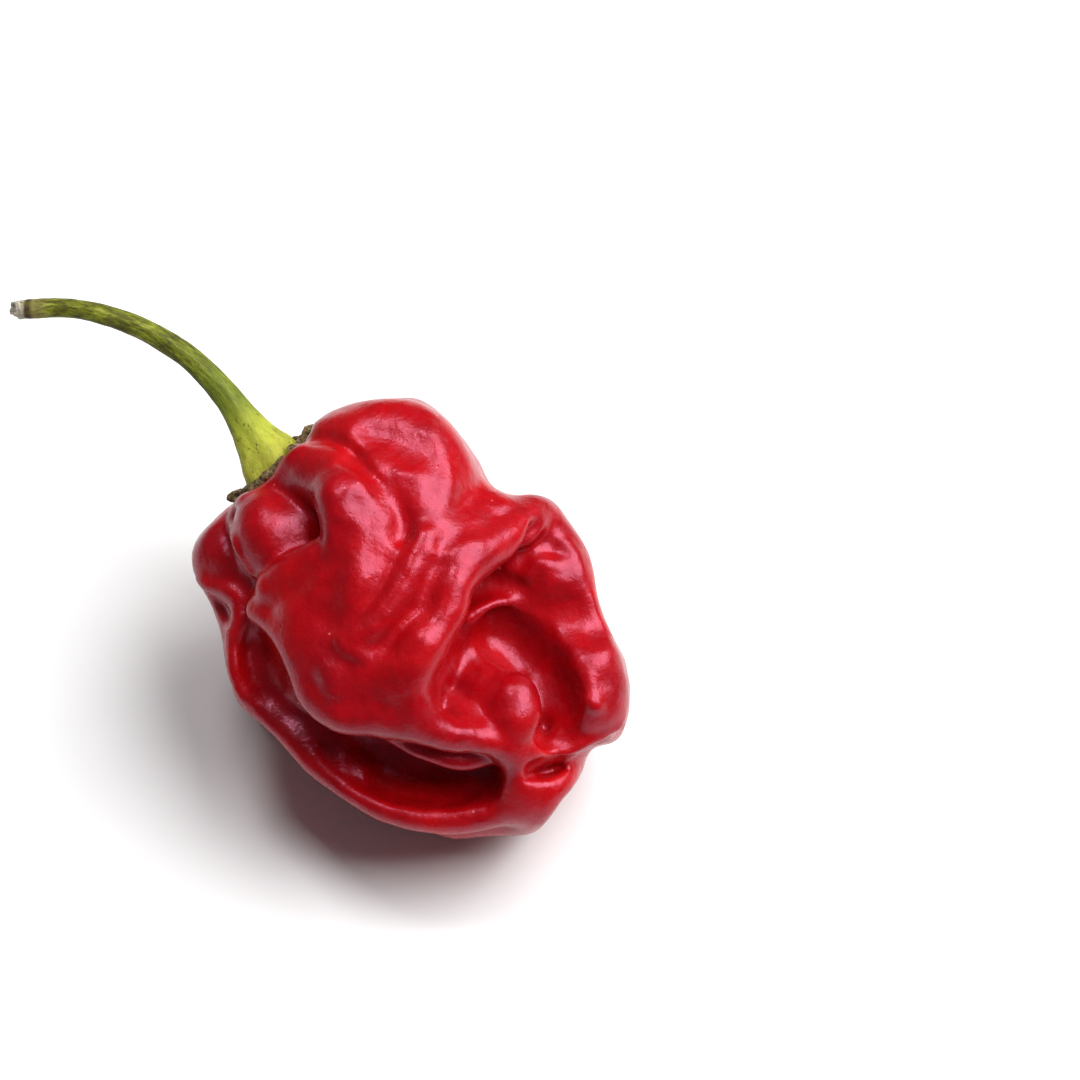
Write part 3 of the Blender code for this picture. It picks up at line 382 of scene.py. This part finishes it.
def spans_between(a, b, c, d, spans):
    """Catmull-Rom points from each b towards its c, where a comes before them and d after."""
    made = []
    for t in np.linspace(0, 1, spans, endpoint=False):
        bend = (2 * a - 5 * b + 4 * c - d) * t**2 + (3 * b - a - 3 * c + d) * t**3
        made.append(0.5 * (2 * b + (c - a) * t + bend))
    return np.stack(made, axis=1).reshape(-1, b.shape[1])


def curve_through(points, spans=CURVE_SPANS):
    """A smooth curve through the points, whose last number is a radius."""
    p = np.array(points, float)
    p = np.vstack([2 * p[0] - p[1], p, 2 * p[-1] - p[-2]])
    return np.vstack([spans_between(p[:-3], p[1:-2], p[2:-1], p[3:], spans), p[-2:-1]])


def closed_curve(points):
    """A smooth loop through the points."""
    p = np.array(points, float)
    before, after, next_after = (np.roll(p, shift, axis=0) for shift in (1, -1, -2))
    return spans_between(before, p, after, next_after, CURVE_SPANS)


class Clay:
    """A block of space that holds, on a grid, how far each point is outside the flesh."""

    def __init__(self, low, high, step):
        self.step = step
        self.axes = [np.arange(a, b + step, step, dtype=np.float32) for a, b in zip(low, high)]
        self.value = np.full([len(axis) for axis in self.axes], FAR, np.float32)

    def near(self, low, high):
        """The part of the grid in this box, and its points as three broadcast axes."""
        cut = tuple(slice(*np.searchsorted(axis, (a, b))) for axis, a, b in zip(self.axes, low, high))
        return cut, np.meshgrid(*[axis[s] for axis, s in zip(self.axes, cut)], indexing="ij", sparse=True)

    def body(self, outline, rounding, front, back):
        """A plump body that fills the outline. It also keeps how far each column is outside the outline."""
        curve = closed_curve(outline)
        x, y = np.meshgrid(self.axes[0], self.axes[1], indexing="ij")
        outside = np.full(x.shape, FAR * FAR, np.float32)
        within = np.zeros(x.shape, bool)
        for a, b in zip(curve, np.roll(curve, -1, axis=0)):
            d = b - a
            t = np.clip(((x - a[0]) * d[0] + (y - a[1]) * d[1]) / (d @ d), 0, 1)
            outside = np.minimum(outside, np.hypot(x - a[0] - t * d[0], y - a[1] - t * d[1]))
            spans = (a[1] > y) != (b[1] > y)
            within ^= spans & (x < a[0] + d[0] * (y - a[1]) / (d[1] if d[1] else 1))
        outside = np.where(within, -outside, outside)[:, :, None]
        z = self.axes[2][None, None, :]
        q = np.maximum(rounding + outside, 0) / rounding
        depth = np.where(z > 0, front, back)
        near = np.sqrt(q**2 + (z / depth) ** 2)
        steep = np.sqrt((q / rounding) ** 2 + (z / depth**2) ** 2)
        self.value = (near * (near - 1) / np.maximum(steep, TINY)).astype(np.float32)
        self.outside = outside

    def lobe(self, blend, centre, radii, turn):
        """Blends an egg onto the flesh, turned about the toward axis by this many degrees."""
        reach = max(radii) + blend + MARGIN
        cut, (x, y, z) = self.near([c - reach for c in centre], [c + reach for c in centre])
        x, y, z = x - centre[0], y - centre[1], z - centre[2]
        c, s = math.cos(math.radians(turn)), math.sin(math.radians(turn))
        x, y = x * c + y * s, y * c - x * s
        near = np.sqrt((x / radii[0]) ** 2 + (y / radii[1]) ** 2 + (z / radii[2]) ** 2)
        steep = np.sqrt((x / radii[0] ** 2) ** 2 + (y / radii[1] ** 2) ** 2 + (z / radii[2] ** 2) ** 2)
        away = near * (near - 1) / np.maximum(steep, TINY)
        self.value[cut] = smooth_union(self.value[cut], away, blend)

    def along(self, blend, points):
        """The part of the grid near a curve, and its distance from the round body along it."""
        curve = curve_through(points)
        reach = curve[:, 3].max() + blend + MARGIN
        cut, (x, y, z) = self.near(curve[:, :3].min(0) - reach, curve[:, :3].max(0) + reach)
        nearest = np.full(self.value[cut].shape, FAR, np.float32)
        for a, b in zip(curve[:-1], curve[1:]):
            d = b - a
            u, v, w = x - a[0], y - a[1], z - a[2]
            t = np.clip((u * d[0] + v * d[1] + w * d[2]) / (d[:3] @ d[:3]), 0, 1)
            away = np.sqrt((u - t * d[0]) ** 2 + (v - t * d[1]) ** 2 + (w - t * d[2]) ** 2)
            nearest = np.minimum(nearest, away - (a[3] + t * d[3]))
        return cut, nearest

    def fold(self, blend, points):
        """Blends a round fold along the points onto the flesh."""
        cut, away = self.along(blend, points)
        self.value[cut] = smooth_union(self.value[cut], away, blend)

    def hollow(self, blend, points):
        """Presses a round hollow along the points into the flesh."""
        cut, away = self.along(blend, points)
        self.value[cut] = smooth_cut(self.value[cut], away, blend)

    def soften(self, width):
        """Blurs the grid, which rounds every edge and crease by about this width."""
        reach = math.ceil(3 * width / self.step)
        offsets = np.arange(-reach, reach + 1)
        weights = np.exp(-0.5 * (offsets * self.step / width) ** 2)
        for axis in range(3):
            shifted = [w * np.roll(self.value, k, axis) for k, w in zip(offsets, weights / weights.sum())]
            self.value = sum(shifted).astype(np.float32)

    def surface(self):
        """Points and faces of the skin, in the leaning frame."""
        grid = openvdb.FloatGrid(FAR)
        grid.copyFromArray(self.value)
        points, triangles, quads = grid.convertToPolygons(0.0, 0.0)
        low = np.array([axis[0] for axis in self.axes])
        return points * self.step + low, [*triangles.tolist(), *quads.tolist()]


def model_flesh():
    """Points and faces of the fruit's flesh, in the leaning frame."""
    clay = Clay(FLESH_LOW, FLESH_HIGH, FLESH_STEP)
    clay.body(OUTLINE, BODY_ROUNDING, BODY_FRONT, BODY_BACK)
    for lobe in LOBES.values():
        clay.lobe(*lobe)
    for fold in FOLDS.values():
        clay.fold(*fold)
    for hollow in HOLLOWS.values():
        clay.hollow(*hollow)
    for fold in INNER_FOLDS.values():
        clay.fold(*fold)
    for fold in FINE_FOLDS.values():
        clay.fold(*fold)
    for hollow in FINE_HOLLOWS.values():
        clay.hollow(*hollow)
    for stroke in STROKES.values():
        draw_stroke(clay, *stroke)
    clay.value = smooth_cut(clay.value, -clay.outside, OUTLINE_BLEND)
    cut_seat(clay)
    clay.soften(FLESH_SOFTNESS)
    return clay.surface()


def face_level(clay, right, up):
    """How far the flesh reaches toward the viewer at this place."""
    column = clay.value[np.searchsorted(clay.axes[0], right), np.searchsorted(clay.axes[1], up)]
    last = np.flatnonzero(column < 0)[-1]
    return clay.axes[2][last] + clay.step * column[last] / (column[last] - column[last + 1])


def draw_stroke(clay, blend, rise, width, places):
    """A soft ridge on the face of the flesh or, with a rise below zero, a crease."""
    side = -1 if rise > 0 else 1
    points = [(*place, face_level(clay, *place) + rise + side * width, width) for place in places]
    if rise > 0:
        clay.fold(blend, points)
    else:
        clay.hollow(blend, points)


def cut_seat(clay):
    """Cuts the flesh flat where the calyx stands on it."""
    axis = Vector(SEAT_AXIS).normalized()
    cut, points = clay.near([c - 2 * SEAT_RADIUS for c in SEAT], [c + 2 * SEAT_RADIUS for c in SEAT])
    offsets = [p - c for p, c in zip(points, SEAT)]
    along = sum(o * a for o, a in zip(offsets, axis))
    across = np.sqrt(np.maximum(sum(o * o for o in offsets) - along**2, 0))
    away = np.maximum(across - SEAT_RADIUS, -along)
    clay.value[cut] = smooth_cut(clay.value[cut], away, SEAT_BLEND)


def leaning_frame():
    """Carries (right, up, toward) in millimetres to the row frame in metres."""
    turn = Matrix.Rotation(math.radians(90 - LEAN), 4, "X")
    return Matrix.Translation((0, 0, REST_HEIGHT * MM)) @ turn @ Matrix.Scale(MM, 4)


def seat_frame():
    """Carries the seat's own frame, with its middle at the origin and its axis +Z, to the leaning frame."""
    axis = Vector(SEAT_AXIS).normalized()
    side = Vector((0, 0, 1)).cross(axis).normalized()
    turn = Matrix((side, axis.cross(side), axis)).transposed().to_4x4()
    return Matrix.Translation(SEAT) @ turn


def ring_faces(rings, sides):
    """Quads between rings of the same number of points."""
    faces = []
    for i in range(rings - 1):
        for j in range(sides):
            a, b = i * sides + j, i * sides + (j + 1) % sides
            faces.append((a, b, b + sides, a + sides))
    return faces


def mesh_object(name, points, faces, matrix, material):
    """A smooth closed mesh, with its normals outward, carried by the matrix to the row frame."""
    mesh = bpy.data.meshes.new(name)
    mesh.from_pydata(np.asarray(points).tolist(), [], faces)
    mesh.transform(matrix)
    made = bmesh.new()
    made.from_mesh(mesh)
    bmesh.ops.recalc_face_normals(made, faces=made.faces)
    if made.calc_volume(signed=True) < 0:
        bmesh.ops.reverse_faces(made, faces=made.faces)
    made.to_mesh(mesh)
    made.free()
    mesh.shade_smooth()
    mesh.materials.append(material)
    obj = bpy.data.objects.new(name, mesh)
    bpy.context.scene.collection.objects.link(obj)
    return obj


def ruffle(obj, waves, seed, share=1):
    """Moves the points of a mesh along their normals by smooth noise. Wavelengths and heights are in mm."""
    mesh = obj.data
    count = len(mesh.vertices)
    places = np.empty(count * 3, np.float32)
    normals = np.empty(count * 3, np.float32)
    mesh.vertices.foreach_get("co", places)
    mesh.vertex_normals.foreach_get("vector", normals)
    places = places.reshape(-1, 3)
    normals = normals.reshape(-1, 3)
    move = np.zeros(count)
    for length, height in waves:
        scaled = places / (length * MM) + seed
        move += [height * MM * noise.noise(p) for p in scaled.tolist()]
    move *= share
    mesh.vertices.foreach_set("co", (places + normals * move[:, None]).ravel())
    mesh.update()


def settle(obj):
    """Flattens what would reach below the table."""
    mesh = obj.data
    places = np.empty(len(mesh.vertices) * 3, np.float32)
    mesh.vertices.foreach_get("co", places)
    places = places.reshape(-1, 3)
    places[:, 2] = np.maximum(places[:, 2], 0)
    mesh.vertices.foreach_set("co", places.ravel())
    mesh.update()


class Look:
    """A procedural material, built node by node in object coordinates."""

    def __init__(self, name):
        self.material = bpy.data.materials.new(name)
        self.material.use_nodes = True
        self.nodes = self.material.node_tree.nodes
        self.links = self.material.node_tree.links
        self.shader = self.nodes["Principled BSDF"]
        self.place = self.nodes.new("ShaderNodeTexCoord").outputs["Object"]

    def set(self, **values):
        for name, value in values.items():
            self.shader.inputs[name.replace("_", " ")].default_value = value

    def noise(self, size, detail=2.0, roughness=0.5, place=None):
        """Smooth noise from 0 to 1, with features of this size in millimetres."""
        node = self.nodes.new("ShaderNodeTexNoise")
        node.inputs["Scale"].default_value = 1 / (size * MM)
        node.inputs["Detail"].default_value = detail
        node.inputs["Roughness"].default_value = roughness
        self.links.new(place or self.place, node.inputs["Vector"])
        return node.outputs["Fac"]

    def stretched(self, place, share):
        """Places given in millimetres, in metres, with the first axis drawn out by one over the share."""
        node = self.nodes.new("ShaderNodeMapping")
        node.inputs["Scale"].default_value = (share * MM, MM, MM)
        self.links.new(place, node.inputs["Vector"])
        return node.outputs["Vector"]

    def cells(self, size):
        """Distance from the nearest of scattered points, this many millimetres apart."""
        node = self.nodes.new("ShaderNodeTexVoronoi")
        node.inputs["Scale"].default_value = 1 / (size * MM)
        self.links.new(self.place, node.inputs["Vector"])
        return node.outputs["Distance"]

    def ramp(self, value, stops):
        """Colours, or greys given as one number, at these levels of a value."""
        node = self.nodes.new("ShaderNodeValToRGB")
        while len(node.color_ramp.elements) < len(stops):
            node.color_ramp.elements.new(0.5)
        for element, (level, colour) in zip(node.color_ramp.elements, stops):
            element.position = level
            element.color = (*colour, 1) if isinstance(colour, tuple) else (colour, colour, colour, 1)
        self.links.new(value, node.inputs["Fac"])
        return node.outputs["Color"]

    def mix(self, share, a, b, blend="MIX"):
        """Colour a turned into b by the share."""
        node = self.nodes.new("ShaderNodeMix")
        node.data_type = "RGBA"
        node.blend_type = blend
        for socket, value in ((node.inputs[0], share), (node.inputs[6], a), (node.inputs[7], b)):
            if isinstance(value, bpy.types.NodeSocket):
                self.links.new(value, socket)
            elif isinstance(value, tuple):
                socket.default_value = (*value, 1)
            else:
                socket.default_value = value
        return node.outputs[2]

    def maths(self, operation, a, b):
        node = self.nodes.new("ShaderNodeMath")
        node.operation = operation
        for socket, value in zip(node.inputs, (a, b)):
            if isinstance(value, bpy.types.NodeSocket):
                self.links.new(value, socket)
            else:
                socket.default_value = value
        return node.outputs[0]

    def bump(self, *layers):
        """Bumps from (height value, depth in millimetres) layers, laid over each other."""
        normal = None
        for value, depth in layers:
            node = self.nodes.new("ShaderNodeBump")
            node.inputs["Distance"].default_value = depth * MM
            self.links.new(value, node.inputs["Height"])
            if normal:
                self.links.new(normal, node.inputs["Normal"])
            normal = node.outputs["Normal"]
        self.links.new(normal, self.shader.inputs["Normal"])

    def feed(self, name, value):
        self.links.new(value, self.shader.inputs[name])


def skin_look():
    """Waxy red skin with blotches, pale specks, dark pores and a fine grain."""
    look = Look("pepper_skin")
    flesh = look.ramp(look.noise(9.0, 3.0), [
        (0.3, (0.26, 0.001, 0.004)), (0.55, (0.36, 0.001, 0.003)), (0.8, (0.44, 0.003, 0.003)),
    ])
    blotch = look.ramp(look.noise(1.6, 4.0, 0.6), [(0.35, (0.6, 0.6, 0.6)), (0.62, (1.0, 1.0, 1.0))])
    flesh = look.mix(0.4, flesh, blotch, "MULTIPLY")
    specks = look.ramp(look.cells(1.9), [(0.0, 1.0), (0.055, 1.0), (0.075, 0.0)])
    scarce = look.ramp(look.noise(4.0, 1.0), [(0.56, 0.0), (0.64, 1.0)])
    flesh = look.mix(look.mix(1.0, specks, scarce, "MULTIPLY"), flesh, (0.62, 0.16, 0.16))
    pores = look.ramp(look.cells(6.5), [(0.0, 1.0), (0.018, 1.0), (0.026, 0.0)])
    flesh = look.mix(pores, flesh, (0.03, 0.002, 0.002))
    look.feed("Base Color", flesh)
    look.feed("Roughness", look.ramp(look.noise(1.3, 4.0, 0.65), [(0.3, 0.23), (0.7, 0.40)]))
    look.set(Subsurface_Weight=0.10, Subsurface_Scale=0.0010, Specular_IOR_Level=0.62)
    look.shader.inputs["Subsurface Radius"].default_value = (1.0, 0.10, 0.08)
    look.shader.inputs["Specular Tint"].default_value = (1.0, 0.40, 0.60, 1)
    grain = look.noise(0.42, 3.0, 0.55)
    dimples = look.ramp(look.cells(0.6), [(0.0, 0.0), (0.28, 1.0)])
    look.bump((look.noise(1.5, 3.0), 0.10), (dimples, 0.014), (grain, 0.030))
    return look.material


def stalk_look():
    """Green with long dark streaks. The grain attribute holds the straightened stalk, in millimetres."""
    look = Look("stalk_green")
    grain = look.nodes.new("ShaderNodeAttribute")
    grain.attribute_name = "grain"
    along = look.nodes.new("ShaderNodeSeparateXYZ")
    look.links.new(grain.outputs["Vector"], along.inputs[0])
    level = look.maths("DIVIDE", along.outputs["X"], STALK_LENGTH)
    green = look.ramp(level, [
        (0.0, (0.50, 0.46, 0.38)), (0.04, (0.46, 0.40, 0.30)), (0.052, (0.06, 0.03, 0.015)),
        (0.066, (0.05, 0.028, 0.014)), (0.078, (0.25, 0.20, 0.07)), (0.105, (0.22, 0.20, 0.05)),
        (0.13, (0.15, 0.165, 0.008)), (0.55, (0.12, 0.145, 0.006)), (0.76, (0.12, 0.16, 0.010)),
        (0.88, (0.36, 0.39, 0.035)), (1.0, (0.42, 0.40, 0.045)),
    ])
    young = look.ramp(level, [(0.07, 0.0), (0.12, 1.0), (0.55, 1.0), (0.8, 0.15)])
    streaks = look.noise(0.45, 5.0, 0.72, look.stretched(grain.outputs["Vector"], 0.2))
    blots = look.noise(0.8, 4.0, 0.65, look.stretched(grain.outputs["Vector"], 0.40))
    dark = look.maths("MULTIPLY", look.ramp(streaks, [(0.43, 0.95), (0.51, 0.0)]), young)
    green = look.mix(dark, green, (0.050, 0.046, 0.007))
    pale = look.maths("MULTIPLY", look.ramp(streaks, [(0.53, 0.0), (0.62, 0.8)]), young)
    green = look.mix(pale, green, (0.30, 0.31, 0.045))
    brown = look.maths("MULTIPLY", look.ramp(blots, [(0.36, 0.9), (0.43, 0.0)]), young)
    green = look.mix(brown, green, (0.050, 0.036, 0.010))
    freckles = look.noise(0.4, 2.0, 0.5, look.stretched(grain.outputs["Vector"], 0.6))
    green = look.mix(look.ramp(freckles, [(0.30, 0.85), (0.36, 0.0)]), green, (0.07, 0.065, 0.010))
    shade = look.ramp(blots, [(0.38, 0.4), (0.55, 0.0)])
    green = look.mix(shade, green, (0.13, 0.14, 0.010))
    look.feed("Base Color", green)
    look.feed("Roughness", look.ramp(streaks, [(0.3, 0.66), (0.7, 0.46)]))
    look.set(Subsurface_Weight=0.06, Subsurface_Scale=0.0006, Specular_IOR_Level=0.22)
    look.bump((streaks, 0.10), (blots, 0.05), (look.noise(0.25, 3.0), 0.02))
    return look.material


def rim_look():
    """Dry brown crust."""
    look = Look("withered_calyx")
    crumb = look.noise(0.6, 5.0, 0.7)
    look.feed("Base Color", look.ramp(crumb, [
        (0.34, (0.025, 0.014, 0.006)), (0.47, (0.10, 0.06, 0.025)), (0.58, (0.24, 0.17, 0.08)),
        (0.70, (0.42, 0.34, 0.20)),
    ]))
    look.feed("Roughness", look.ramp(crumb, [(0.3, 0.95), (0.7, 0.75)]))
    look.set(Specular_IOR_Level=0.2)
    look.bump((crumb, 0.10), (look.noise(0.15, 3.0), 0.03))
    return look.material


def make_stalk(material):
    """The stalk's rings, from the bottom of the hollow in its torn tip to the flared calyx on the seat."""
    line = curve_through(STALK, STALK_SPANS)
    tangents = np.gradient(line[:, :3], axis=0)
    tangents[-1] = -np.array(Vector(SEAT_AXIS).normalized())
    turns = np.linspace(0, 2 * math.pi, STALK_SIDES, endpoint=False)
    last = len(line) - 1
    lengths = np.cumsum([0, *np.linalg.norm(np.diff(line[:, :3], axis=0), axis=1)])
    points = []
    grain = []
    rings = [(0, depth * TIP_HOLLOW, share) for depth, share in TIP_CUP]
    rings += [(i, 0, 1) for i in range(last + 1)]
    for i, sunk, share in rings:
        tangent = Vector(tangents[i]).normalized()
        side = Vector((0, 0, 1)).cross(tangent).normalized()
        front = tangent.cross(side)
        middle = Vector(line[i, :3]) + tangent * sunk
        slant = TIP_SLANT * max(0, 1 - lengths[i] / TIP_LENGTH)
        for turn in turns:
            out = side * math.cos(turn) + front * math.sin(turn)
            radius = line[i, 3] * share * (1 + STALK_RIB_DEPTH * i / last * math.cos(STALK_RIBS * turn))
            tilt = TIP_SLANT_LEVEL + TIP_SLANT_TILT * out.z
            points.append(middle + out * radius + tangent * slant * tilt)
            grain.append((lengths[i] + sunk, radius * math.cos(turn), radius * math.sin(turn)))
    faces = ring_faces(len(rings), STALK_SIDES)
    faces.append(tuple(range(STALK_SIDES)))
    faces.append(tuple(range(len(points) - 1, len(points) - STALK_SIDES - 1, -1)))
    stalk = mesh_object("stalk_skin", [tuple(p) for p in points], faces, leaning_frame(), material)
    places = stalk.data.attributes.new("grain", "FLOAT_VECTOR", "POINT")
    places.data.foreach_set("vector", np.array(grain, np.float32).ravel())
    ruffle(stalk, STALK_WAVES, STALK_SEED)
    ruffle(stalk, TIP_WAVES, TIP_SEED, np.clip(1 - np.array(grain)[:, 0] / TIP_LENGTH, 0, 1))
    return stalk


def make_rim(material):
    """A collar of ropes along the calyx's edge, with crumbs that chain out from three places on it."""
    clay = Clay(RIM_LOW, RIM_HIGH, RIM_STEP)
    turns = np.linspace(0, 2 * math.pi, len(RIM) + 1)
    edge = [(turn, *RIM[k % len(RIM)]) for k, turn in enumerate(turns)]
    for across, lift in RIM_ROWS:
        rope = []
        for turn, outer, height in edge:
            radius = RIM_NEAR + (outer - RIM_ROPE - RIM_NEAR) * across
            top = min(height, RIM_TOP) - RIM_ROPE
            rope.append((radius * math.cos(turn), radius * math.sin(turn), top * lift, RIM_ROPE))
        clay.fold(RIM_BLEND, rope)
    draw = np.random.default_rng(CRUMB_SEED)
    for turn, out, height, step, count in CRUMBS.values():
        turn = math.radians(turn)
        centres = [np.array([out * math.cos(turn), out * math.sin(turn), height])]
        for _ in range(count):
            centres.append(centres[draw.integers(len(centres))] + draw.uniform(-step, step, 3))
            radii = tuple(draw.uniform(*CRUMB_RADII, 3))
            clay.lobe(CRUMB_BLEND, tuple(centres[-1]), radii, draw.uniform(0, 180))
    clay.soften(RIM_SOFTNESS)
    rim = mesh_object("calyx_crust", *clay.surface(), leaning_frame() @ seat_frame(), material)
    ruffle(rim, RIM_WAVES, RIM_SEED)
    return rim


def make_camera():
    """The photo's view: the camera looks down along the toward axis."""
    camera = bpy.data.cameras.new("camera")
    camera.sensor_width = SENSOR
    camera.lens = SENSOR * VIEW_DISTANCE / VIEW_WIDTH
    camera.clip_start = CLIP_START
    obj = bpy.data.objects.new("camera", camera)
    place = leaning_frame() @ Vector((*VIEW_POINT, VIEW_DISTANCE))
    obj.matrix_world = Matrix.Translation(place) @ Matrix.Rotation(math.radians(90 - LEAN), 4, "X")
    bpy.context.scene.collection.objects.link(obj)
    bpy.context.scene.camera = obj


def make_light(name, place, size, power):
    light = bpy.data.lights.new(name, "AREA")
    light.size = size
    light.energy = power
    obj = bpy.data.objects.new(name, light)
    obj.location = place
    obj.rotation_mode = "QUATERNION"
    obj.rotation_quaternion = (Vector(LIGHT_AIM) - Vector(place)).to_track_quat("-Z", "Y")
    bpy.context.scene.collection.objects.link(obj)


def make_studio():
    """A pale floor, two soft lamps and a dim sky."""
    floor_look = Look("floor_pale")
    floor_look.feed("Base Color", floor_look.ramp(floor_look.noise(60.0), FLOOR_GREYS))
    floor_look.set(Roughness=0.6)
    bpy.ops.mesh.primitive_plane_add(size=FLOOR_SIDE)
    floor = bpy.context.object
    floor.name = "floor"
    floor.data.materials.append(floor_look.material)
    world = bpy.data.worlds.new("studio")
    world.use_nodes = True
    sky = world.node_tree.nodes["Background"]
    sky.inputs["Color"].default_value = SKY_COLOUR
    sky.inputs["Strength"].default_value = SKY_STRENGTH
    bpy.context.scene.world = world
    for name, light in LIGHTS.items():
        make_light(name, *light)
    bpy.context.scene.view_settings.view_transform = "Standard"


skin = mesh_object("pepper_flesh", *model_flesh(), leaning_frame(), skin_look())
ruffle(skin, SKIN_WAVES, SKIN_SEED)
settle(skin)
stalk = make_stalk(stalk_look())
rim = make_rim(rim_look())
dressed = [
    (skin, "fruit", "skin"),
    (stalk, "stalk", "stalk"),
    (rim, "calyx_rim", "dry_calyx"),
]
for piece, node, slot in dressed:
    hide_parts(node)
    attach(piece, "root")
make_camera()
make_studio()
